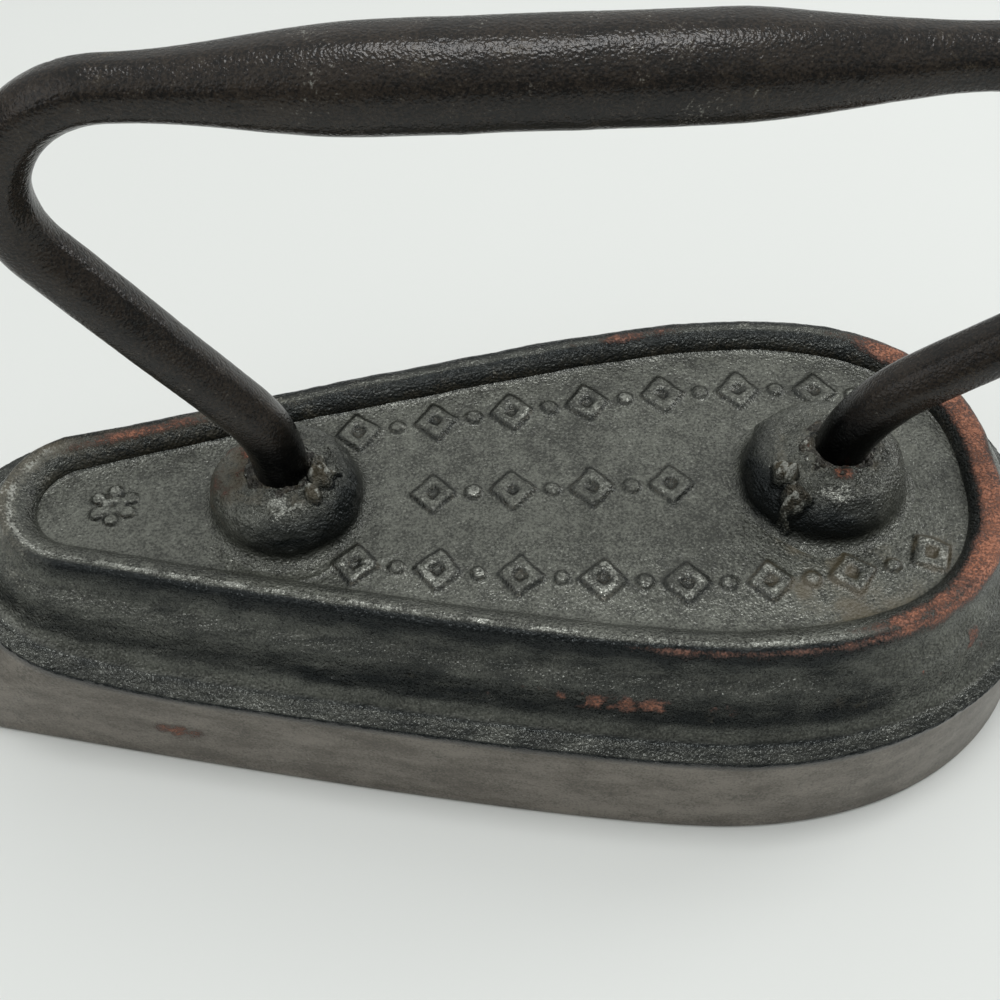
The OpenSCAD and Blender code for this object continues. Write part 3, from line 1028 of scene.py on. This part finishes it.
@dataclass
class Collar:
    """The crumbly metal run in round one neck.

    Attributes:
        name: Name of the piece.
        node: Frame node that it stands for.
        shape: The casting's sizes.
        centre_x: Station of the neck's axis.
        rusty: Share of rust in front of the neck.
    """

    name: str
    node: str
    shape: BodyShape
    centre_x: float
    rusty: float
    inner_r: float = 3.2
    outer_r: float = 5.3
    height: float = 0.12
    depth: float = 1.3
    fall: float = 0.38
    around: int = 150
    section_steps: int = 40

    def torus(self) -> Array:
        """The collar's closed ring: an ellipse carried round the neck."""
        turn = np.linspace(0, 2 * math.pi, self.around, endpoint=False)
        tilt = np.linspace(0, 2 * math.pi, self.section_steps, endpoint=False)[:, None]
        middle, half = (self.inner_r + self.outer_r) / 2, (self.outer_r - self.inner_r) / 2
        radius = middle + half * np.cos(tilt)
        z = self.shape.at.boss_top + np.where(np.sin(tilt) > 0, self.height, self.depth) * np.sin(tilt)
        z = z - self.fall * (radius - self.inner_r)
        flat = np.ones_like(turn)
        return np.stack(
            [self.centre_x + radius * np.cos(turn), radius * np.sin(turn), z * flat], axis=-1
        )

    def crumble(self, points: Array, normal: Array, amount: float) -> Array:
        """Points pushed along their normals into angular grains and pits.

        Args:
            points: A grid of points.
            normal: Their normals.
            amount: Height of the largest grains.

        Returns:
            The rough grid.
        """
        grains = CAST_GRAIN.crumbs(points, 1.7) - 0.45 + 0.5 * (CAST_GRAIN.crumbs(points, 0.8) - 0.45)
        return points + normal * (amount * (grains + 0.35 * CAST_GRAIN.layered(points, 1.1, 2)))[..., None]

    def build(self) -> Piece:
        """Builds the ring."""
        torus = self.torus()
        points = self.crumble(torus, normals(torus, wrap_rows=True), 0.6)
        points[..., 2] += 0.3 * CAST_GRAIN.lumps(torus, 3.1)
        front = bell(points[..., 0] - self.centre_x, 1.0, 1.6) * smooth(-2.0, -3.5, points[..., 1])
        faces = skin(*torus.shape[:2], wrap_rows=True)
        blotch = RUST_GRAIN.layered(points, 2.5, 3)
        # Painted shade on the ring's low inner side, and painted glints on the grains' tops.
        masks = {
            Mask.SOOT_AND_SHADE: 0.5 * smooth(0.4, -0.5, points[..., 2] - self.shape.at.boss_top),
            Mask.RUST: 0.5 * smooth(0.3, 1.0, blotch) + self.rusty * front,
            Mask.DIRT: 0.3 + 0.4 * blotch,
            Mask.POLISH_AND_GLINT: 0.5 * smooth(0.2, 0.9, CAST_GRAIN.crumbs(points, 1.1)),
            Mask.COARSE: np.full_like(blotch, 0.8),
        }
        return Piece(self.name, self.node, Slot.RUN_IN, points, faces, masks)


@dataclass(frozen=True)
class Leg:
    """One leg of the handle, bent out at its neck and back in at its shoulder.

    Attributes:
        neck_x: Station of the neck's axis.
        out: 1 where the leg leans to the heel, -1 where it leans to the toe.
        bend_z: Height at which the neck begins to bend.
        lean: Lean of the straight stretch from upright, in degrees.
        neck_r: Radius of the neck's bend.
        straight: Length of the straight stretch.
    """

    neck_x: float
    out: int
    bend_z: float
    lean: float
    neck_r: float
    straight: float

    def path(self, foot_z: float, grip_z: float, step: float) -> Array:
        """The leg's centreline from its foot up to the grip's height.

        It is an upright stretch, an arc through the lean, a straight stretch and an arc back
        through the lean and a right angle, whose radius brings it level at the grip.

        Args:
            foot_z: Height of the foot.
            grip_z: Height of the grip's axis.
            step: Distance between points.

        Returns:
            Rows of x and z.
        """
        lean = math.radians(self.lean)
        sin, cos = math.sin(lean), math.cos(lean)
        low = np.array([self.neck_r * (1 - cos), self.bend_z + self.neck_r * sin])
        high = low + self.straight * np.array([sin, cos])
        radius = (grip_z - high[1]) / (1 + sin)
        centre = high + radius * np.array([-cos, sin])
        rise = np.arange(foot_z, self.bend_z, step)
        upright = np.stack([np.zeros_like(rise), rise], axis=-1)
        a = np.linspace(0, lean, max(2, int(self.neck_r * lean / step)), endpoint=False)
        neck = np.stack([self.neck_r * (1 - np.cos(a)), self.bend_z + self.neck_r * np.sin(a)], -1)
        t = np.linspace(0, 1, int(self.straight / step), endpoint=False)[:, None]
        straight = low + t * (high - low)
        b = np.linspace(-lean, math.pi / 2, int(radius * (lean + math.pi / 2) / step))
        shoulder = centre + radius * np.stack([np.cos(b), np.sin(b)], axis=-1)
        path = np.concatenate([upright, neck, straight, shoulder])
        return path * [self.out, 1] + [self.neck_x, 0]


@dataclass
class BarHandle:
    """The forged bar: two legs and the swollen grip between them.

    Attributes:
        shape: The casting's sizes.
    """

    shape: BodyShape
    bar_d: float = 7.6
    grip_d: float = 12.4
    swell_run: float = 30.0
    sunk: float = 8.0
    regain: float = 0.2
    step: float = 0.55
    around: int = 84

    def centreline(self) -> Array:
        """The path from the front neck up, along the grip and down to the rear neck."""
        at = self.shape.at
        grip_z = at.handle_top - self.grip_d / 2
        foot_z = at.boss_top - self.sunk
        front = Leg(at.front_x, -1, at.boss_top + 0.8, 33.5, 22.0, 35.0)
        rear = Leg(at.rear_x, 1, at.boss_top - 5.1, 55.0, 23.0, 12.0)
        up = front.path(foot_z, grip_z, self.step)
        down = rear.path(foot_z, grip_z, self.step)[::-1]
        steps = int((down[0, 0] - up[-1, 0]) / self.step)
        t = np.linspace(0, 1, steps + 1)[1:-1, None]
        return np.concatenate([up, up[-1] + t * (down[0] - up[-1]), down])

    def radius(self, path: Array) -> Array:
        """The bar's radius along its path: it swells into the grip by a soft step."""
        grip = path[:, 1] > self.shape.at.handle_top - self.grip_d / 2 - 0.01
        first, last = path[grip, 0].min(), path[grip, 0].max()
        reach = np.minimum(path[:, 0] - first, last - path[:, 0])
        swell = smooth(0, self.swell_run, reach) * grip
        return (self.bar_d + (self.grip_d - self.bar_d) * swell) / 2

    def build(self) -> Piece:
        """Sweeps the hammered section along the path."""
        path = self.centreline()
        way = np.gradient(path, axis=0)
        way /= np.linalg.norm(way, axis=1, keepdims=True)
        run = np.concatenate([[0.0], np.cumsum(np.linalg.norm(np.diff(path, axis=0), axis=1))])
        turn = np.linspace(0, 2 * math.pi, self.around, endpoint=False)
        radius = self.radius(path)[:, None]
        drift = 0.5 * np.sin(run / 31.0)[:, None]
        facets = -0.055 * (1 - np.cos(7 * turn + drift)) * np.ones_like(radius)
        side, rise = np.cos(turn), np.sin(turn)
        rings = np.stack(
            [
                path[:, :1] - way[:, 1:] * radius * rise,
                radius * side,
                path[:, 1:] + way[:, :1] * radius * rise,
            ],
            axis=-1,
        )
        hammer = -0.16 * np.abs(FORGE_GRAIN.lumps(rings * [0.55, 1, 0.55], 6.5))
        grit = -0.035 * np.abs(FORGE_GRAIN.layered(rings, 1.6, 3))
        pits = -0.14 * smooth(0.75, 1.1, FORGE_GRAIN.layered(rings + 40, 2.4, 2))
        regain = self.regain * smooth(self.shape.at.handle_top - 8, self.shape.at.handle_top - 16, rings[..., 2])
        regain = regain * smooth(86, 78, rings[..., 0])
        lines = rings + normals(rings) * (facets + hammer + grit + pits + regain)[..., None]
        rows = len(rings)
        faces = skin(rows, self.around)
        faces += ring_cap(0, self.around, True) + ring_cap((rows - 1) * self.around, self.around, False)
        # Painted shade darkens the legs towards the necks; the grip's rubbed share is wear.
        neck = smooth(15.0, 3.0, rings[..., 2] - self.shape.at.boss_top)
        grip = smooth(self.bar_d / 2 + 0.6, self.grip_d / 2, radius) * np.ones_like(rings[..., 0])
        blotch = RUST_GRAIN.layered(rings, 8.0, 3)
        masks = {
            Mask.SOOT_AND_SHADE: neck,
            Mask.POLISH_AND_GLINT: 0.22 * grip * smooth(-0.4, 0.8, blotch),
            Mask.RUST: 0.3 * smooth(0.35, 1.1, blotch) * (1 - neck),
            Mask.DIRT: 0.3 * smooth(0.0, 0.9, -blotch) * (1 - neck),
            Mask.COARSE: 0.5 - 0.1 * neck,
        }
        return Piece("bar_handle", "handle_bar", Slot.FORGED, lines, faces, masks)


class Wire:
    """An output of a material's node. Arithmetic on it adds Math nodes."""

    def __init__(self, graph: "Graph", socket: bpy.types.NodeSocket) -> None:
        """Holds a socket and the graph that it belongs to."""
        self.graph = graph
        self.socket = socket

    def math(self, operation: str, *values: "Wire | float") -> "Wire":
        """A Math node on values, by its operation's name."""
        return self.graph.node("ShaderNodeMath", {"operation": operation}, dict(enumerate(values)))

    def __add__(self, other: "Wire | float") -> "Wire":
        """Sum."""
        return self.math("ADD", self, other)

    def __sub__(self, other: "Wire | float") -> "Wire":
        """Difference."""
        return self.math("SUBTRACT", self, other)

    def __rsub__(self, other: float) -> "Wire":
        """Difference from a number."""
        return self.math("SUBTRACT", other, self)

    def __mul__(self, other: "Wire | float") -> "Wire":
        """Product."""
        return self.math("MULTIPLY", self, other)

    __radd__ = __add__
    __rmul__ = __mul__

    def step(self, low: float, high: float) -> "Wire":
        """A soft step from 0 at low to 1 at high."""
        settings = {"interpolation_type": "SMOOTHSTEP"}
        return self.graph.node("ShaderNodeMapRange", settings, {0: self, 1: low, 2: high})


class Graph:
    """A material's node tree, written as expressions."""

    def __init__(self, name: str) -> None:
        """Makes an empty material.

        Args:
            name: Its name.
        """
        self.material = bpy.data.materials.new(name)
        self.material.use_nodes = True
        self.tree = self.material.node_tree
        self.tree.nodes.clear()
        place = self.node("ShaderNodeTexCoord", output="Object")
        scale = {0: place, "Scale": 1 / MM}
        self.place = self.node("ShaderNodeVectorMath", {"operation": "SCALE"}, scale)

    def node(
        self,
        kind: str,
        settings: dict | None = None,
        inputs: dict | None = None,
        output: int | str = 0,
    ) -> Wire:
        """Adds one node.

        Args:
            kind: The node's type.
            settings: Its properties, set before its sockets.
            inputs: Values or wires by socket number or name.
            output: Number or name of the output to return.

        Returns:
            That output.
        """
        node = self.tree.nodes.new(kind)
        for key, value in (settings or {}).items():
            setattr(node, key, value)
        for key, value in (inputs or {}).items():
            if isinstance(value, Wire):
                self.tree.links.new(value.socket, node.inputs[key])
            else:
                node.inputs[key].default_value = value
        return Wire(self, node.outputs[output])

    def mask(self, mask: Mask) -> Wire:
        """The mesh's share of a mask."""
        return self.node("ShaderNodeAttribute", {"attribute_name": mask.value}, output="Fac")

    def noise(self, size: float, detail: float = 3.0, rough: float = 0.55) -> Wire:
        """Noise of about 0 to 1 whose largest blots are size millimetres across."""
        inputs = {"Vector": self.place, "Scale": 1 / size, "Detail": detail, "Roughness": rough}
        return self.node("ShaderNodeTexNoise", inputs=inputs)

    def streaks(self, size: float, stretch: float) -> Wire:
        """Noise stretched along the iron by a factor."""
        factors = {0: self.place, 1: (1 / stretch, 1.0, 1.0)}
        place = self.node("ShaderNodeVectorMath", {"operation": "MULTIPLY"}, factors)
        inputs = {"Vector": place, "Scale": 1 / size, "Detail": 4.0, "Roughness": 0.6}
        return self.node("ShaderNodeTexNoise", inputs=inputs)

    def grains(self, size: float) -> Wire:
        """Distance to the nearest grain's middle, in grains."""
        return self.node("ShaderNodeTexVoronoi", inputs={"Vector": self.place, "Scale": 1 / size})

    def mix(self, share: Wire, low: "Wire | Colour", high: "Wire | Colour") -> Wire:
        """A colour a share of the way from low to high."""
        ends = {6: low, 7: high}
        colours = {k: v if isinstance(v, Wire) else (*v, 1.0) for k, v in ends.items()}
        settings = {"data_type": "RGBA", "clamp_factor": True}
        return self.node("ShaderNodeMix", settings, {0: share, **colours}, output=2)

    def bump(self, height: Wire, strength: float = 1.0) -> Wire:
        """A normal that follows a height in millimetres."""
        inputs = {"Height": height, "Distance": MM, "Strength": strength}
        return self.node("ShaderNodeBump", inputs=inputs)

    def finish(self, **sockets: "Wire | float | Colour") -> bpy.types.Material:
        """Closes the graph with a Principled shader.

        Args:
            sockets: Values by the shader's socket name, with _ for a space.

        Returns:
            The material.
        """
        named = {key.replace("_", " "): value for key, value in sockets.items()}
        shader = self.node("ShaderNodeBsdfPrincipled", inputs=named)
        self.node_output(shader)
        return self.material

    def node_output(self, shader: Wire) -> None:
        """Links the shader to the material's output."""
        output = self.tree.nodes.new("ShaderNodeOutputMaterial")
        self.tree.links.new(shader.socket, output.inputs["Surface"])


@dataclass(frozen=True)
class IronFinish:
    """Old iron: a mottled skin with sooty black and painted shade, bare ground metal, rubbed metal and painted
    highlights, rust and dirt.

    Attributes:
        name: Name of the material.
        skin_dark: Darker mottles of the skin.
        skin_light: Lighter mottles of the skin.
        soot_and_shade: Blackest skin, for soot and for painted shade.
        metal: Metallic share of the skin.
        gloss: Roughness of the skin.
        grit: Height of the skin's fine grain, in millimetres.
        sparkle: Share of painted glints on the tops of the grains, in the bright metal colour.
        specular: Strength of the skin's own reflection, where 0.5 is that of glass.
    """

    name: str
    skin_dark: Colour
    skin_light: Colour
    soot_and_shade: Colour
    metal: float
    gloss: float
    grit: float
    sparkle: float
    specular: float
    ground_dark: Colour = (0.105, 0.092, 0.075)
    ground_light: Colour = (0.215, 0.193, 0.165)
    # Colour of rubbed metal, and of the painted glints and highlights.
    polish_and_glint: Colour = (0.42, 0.43, 0.39)
    rust_dark: Colour = (0.045, 0.023, 0.018)
    rust_light: Colour = (0.42, 0.157, 0.081)
    dirt: Colour = (0.085, 0.068, 0.036)

    def make(self) -> bpy.types.Material:
        """Builds the material.

        Each mask of the mesh is broken up by noise at its edge. The colours lie over each
        other in this order: skin, sooty black and painted shade, ground metal, painted glints, dirt, rubbed metal
        and painted highlights, and rust.
        """
        g = Graph(self.name)
        broad, middle, fine = g.noise(14.0), g.noise(2.6, 4.0), g.noise(0.38, 3.0, 0.65)
        grain = g.grains(0.38)
        ground = g.mask(Mask.GROUND)
        coarse = g.mask(Mask.COARSE)
        ragged = (middle - 0.5) * 0.7 + (fine - 0.5) * 0.9
        rust = (g.mask(Mask.RUST) + ragged * 0.8).step(0.32, 0.62)
        polish_and_glint = (g.mask(Mask.POLISH_AND_GLINT) + ragged * 1.8).step(0.35, 0.8)
        dirt = (g.mask(Mask.DIRT) + ragged * 0.9).step(0.25, 0.9)
        streaks = (g.streaks(1.3, 4.0) - 0.5) * 0.65
        soot_and_shade = (g.mask(Mask.SOOT_AND_SHADE) + ragged * 0.35 + streaks).step(0.05, 0.95)

        mottle = (broad * 0.28 + middle * 0.27 + fine * 0.7).step(0.5, 0.76)
        colour = g.mix(mottle, self.skin_dark, self.skin_light)
        # The sooty black, and painted shade, darken the skin.
        colour = g.mix(soot_and_shade, colour, self.soot_and_shade)
        clouds = g.noise(5.0, 5.0, 0.65)
        cloud = (g.streaks(4.0, 2.5) * 0.6 + broad * 0.2 + fine * 0.4).step(0.46, 0.74)
        bare = g.mix(cloud, self.ground_dark, self.ground_light)
        bare = g.mix((fine * 0.7 + middle * 0.5).step(0.59, 0.45) * 0.3, bare, self.skin_dark)
        colour = g.mix(ground, colour, bare)
        # Painted glints: grain tops lightened towards the bright metal colour, grouped in streaks.
        glints = g.streaks(2.4, 3.0).step(0.4, 0.62) * 0.85 + 0.3
        spark = (fine * 0.8 + (0.5 - grain) * 0.35).step(0.56, 0.72) * (1 - ground) * (1 - soot_and_shade * 0.85) * glints
        colour = g.mix(spark * self.sparkle, colour, self.polish_and_glint)
        colour = g.mix(dirt * 0.75, colour, self.dirt)
        # Rubbed metal, and painted highlights.
        colour = g.mix(polish_and_glint * 0.8, colour, self.polish_and_glint)
        scale = (fine * 0.9 + middle * 0.4).step(0.53, 0.75)
        bright = (scale * 0.85 + clouds.step(0.36, 0.62) * 0.36) * g.mask(Mask.RUST).step(0.2, 0.95)
        colour = g.mix(rust, colour, g.mix(bright, self.rust_dark, self.rust_light))

        covered = (1 - rust) * (1 - dirt * 0.7)
        metal = (ground * 0.35 + polish_and_glint * 0.35 + soot_and_shade * (0.75 - self.metal) * (1 - ground) + self.metal) * covered
        rough = self.gloss - spark * 0.1 + ground * 0.16 + rust * 0.32 + dirt * 0.22 - soot_and_shade * 0.04
        cast = 1 - ground * 0.95
        tops = g.noise(0.4, 1.0, 0.5)
        grit = (tops * 1.0 - grain * 0.2 + middle * 0.3) * (coarse * 1.3 + 0.15) * self.grit
        height = (grit + streaks * 0.06) * cast + rust * 0.05 + scale * rust * 0.2
        return g.finish(
            Base_Color=colour,
            Metallic=metal,
            Roughness=rough,
            Specular_IOR_Level=self.specular,
            Normal=g.bump(height),
        )


CAST_IRON = IronFinish(
    name="old_cast_iron",
    skin_dark=(0.036, 0.038, 0.031),
    skin_light=(0.15, 0.156, 0.132),
    soot_and_shade=(0.008, 0.0108, 0.0112),
    metal=0.35,
    gloss=0.27,
    grit=0.33,
    sparkle=0.62,
    specular=0.75,
)
FORGED_IRON = IronFinish(
    name="forged_dark_iron",
    skin_dark=(0.004, 0.0035, 0.003),
    skin_light=(0.028, 0.021, 0.015),
    soot_and_shade=(0.0012, 0.0014, 0.0015),
    metal=0.05,
    gloss=0.24,
    grit=0.12,
    sparkle=0.15,
    specular=0.35,
)
RUN_IN_METAL = IronFinish(
    name="run_in_iron",
    skin_dark=(0.02, 0.018, 0.015),
    skin_light=(0.08, 0.075, 0.062),
    soot_and_shade=(0.006, 0.006, 0.006),
    metal=0.35,
    gloss=0.3,
    grit=0.35,
    sparkle=0.2,
    specular=0.5,
)


@dataclass
class Studio:
    """The pale floor, the soft lights and the camera.

    Attributes:
        floor_colour: Colour of the floor.
        camera_at: The camera's place, in millimetres.
        yaw: The camera's turn to the right of the far side, in degrees.
        pitch: Its look down, in degrees.
        roll: Its turn about its own axis, in degrees.
        focal: Its focal length, in millimetres on a sensor 36 mm wide.
    """

    floor_colour: Colour = (0.78, 0.8, 0.78)
    floor_size: float = 1600.0
    camera_at: tuple[float, float, float] = (4.804, -133.094, 205.73)
    yaw: float = 0.826
    pitch: float = -52.947
    roll: float = -1.568
    focal: float = 54.0

    def floor(self) -> None:
        """A level square just under the sole, with a soft grain in its colour."""
        half = self.floor_size / 2
        level = -0.1
        corners = [(-half, -half, level), (half, -half, level), (half, half, level), (-half, half, level)]
        mesh = bpy.data.meshes.new("floor")
        mesh.from_pydata([tuple(c * MM for c in corner) for corner in corners], [], [[0, 1, 2, 3]])
        graph = Graph("pale_floor")
        tint = graph.mix(graph.noise(60.0, 2.0), tuple(0.985 * c for c in self.floor_colour), self.floor_colour)
        mesh.materials.append(graph.finish(Base_Color=tint, Roughness=0.6))
        floor = bpy.data.objects.new("floor", mesh)
        bpy.context.scene.collection.objects.link(floor)

    def lamp(self, name: str, place: Colour, target: Colour, size: float, power: float) -> None:
        """A square soft light.

        Args:
            name: Name of the light.
            place: Its place, in millimetres.
            target: The point that it faces, in millimetres.
            size: Its side, in millimetres.
            power: Its power in watts.
        """
        light = bpy.data.lights.new(name, "AREA")
        light.shape = "SQUARE"
        light.size = size * MM
        light.energy = power
        lamp = bpy.data.objects.new(name, light)
        bpy.context.scene.collection.objects.link(lamp)
        lamp.location = Vector(place) * MM
        lamp.rotation_euler = (Vector(target) - Vector(place)).to_track_quat("-Z", "Y").to_euler()

    def world(self) -> None:
        """A pale surrounding, bright overhead and dark low down on the camera's side."""
        world = bpy.data.worlds.new("studio")
        world.use_nodes = True
        tree = world.node_tree
        back = tree.nodes["Background"]
        coord = tree.nodes.new("ShaderNodeTexCoord")
        dot = tree.nodes.new("ShaderNodeVectorMath")
        dot.operation = "DOT_PRODUCT"
        dot.inputs[1].default_value = (0.05, 0.35, 0.935)
        ramp = tree.nodes.new("ShaderNodeMapRange")
        ramp.interpolation_type = "SMOOTHSTEP"
        ramp.inputs[1].default_value = -0.1
        ramp.inputs[2].default_value = 0.75
        ramp.inputs[3].default_value = 0.2
        ramp.inputs[4].default_value = 0.72
        tree.links.new(coord.outputs["Generated"], dot.inputs[0])
        tree.links.new(dot.outputs["Value"], ramp.inputs[0])
        tree.links.new(ramp.outputs[0], back.inputs["Strength"])
        back.inputs["Color"].default_value = (0.985, 1.0, 0.985, 1.0)
        bpy.context.scene.world = world

    def camera(self) -> None:
        """The camera, turned by yaw, pitch and roll from looking level at the far side."""
        data = bpy.data.cameras.new("camera")
        data.lens = self.focal
        data.sensor_width = 36.0
        data.clip_start = 0.01
        camera = bpy.data.objects.new("camera", data)
        bpy.context.scene.collection.objects.link(camera)
        turn = Matrix.Rotation(-math.radians(self.yaw), 4, "Z")
        tip = Matrix.Rotation(math.radians(90 + self.pitch), 4, "X")
        twist = Matrix.Rotation(math.radians(self.roll), 4, "Z")
        camera.matrix_world = Matrix.Translation(Vector(self.camera_at) * MM) @ turn @ tip @ twist
        bpy.context.scene.camera = camera

    def build(self) -> None:
        """Makes the whole studio."""
        self.camera()
        self.floor()
        self.world()
        self.lamp("overhead", (40, 0, 760), (10, 0, 20), 240, 1.8)
        self.lamp("right_window", (560, 260, 330), (30, 0, 20), 260, 0.9)
        self.lamp("left_fill", (-480, -260, 420), (0, 0, 20), 380, 0.4)


def main() -> None:
    """Builds the studio and each piece of the iron, in order."""
    logging.basicConfig(level=logging.INFO, format="%(name)s: %(message)s")
    Studio().build()
    shape = BodyShape(Stations.from_frame())
    at = shape.at
    cast, forged, run_in = CAST_IRON.make(), FORGED_IRON.make(), RUN_IN_METAL.make()
    IronBody(shape).build().place(cast)
    DeckFace(shape).build().place(cast)
    rear_boss_x = at.front_x + DeckFace.boss_spacing
    front_spills = (Spill(5.2, 1.3, 1.4, 0.9), Spill(5.6, -1.7, 1.9, 1.7), Spill(4.7, -4.7, 1.2, 1.3))
    rear_spills = (Spill(-6.9, -4.2, 1.9, 1.9), Spill(-6.1, -7.9, 1.8, 2.0), Spill(-1.5, 1.5, 1.2, 0.6))
    front = Boss("front_boss", shape, at.front_x, 10.9, 0.0, 1, (0.9, -6.3), front_spills, 0.4, 1.0, 0.0)
    front.build().place(cast)
    rear = Boss("rear_boss", shape, rear_boss_x, 11.8, 53.0, -1, (-0.4, -7.6), rear_spills, 0.5, 0.3, 0.7)
    rear.build().place(cast)
    Collar("front_collar", "front_socket_fill", shape, at.front_x, 0.0).build().place(run_in)
    Collar("rear_collar", "rear_socket_fill", shape, at.rear_x, 0.6).build().place(run_in)
    BarHandle(shape).build().place(forged)
    bpy.context.scene.view_settings.view_transform = "Standard"


if __name__ == "__main__":
    main()
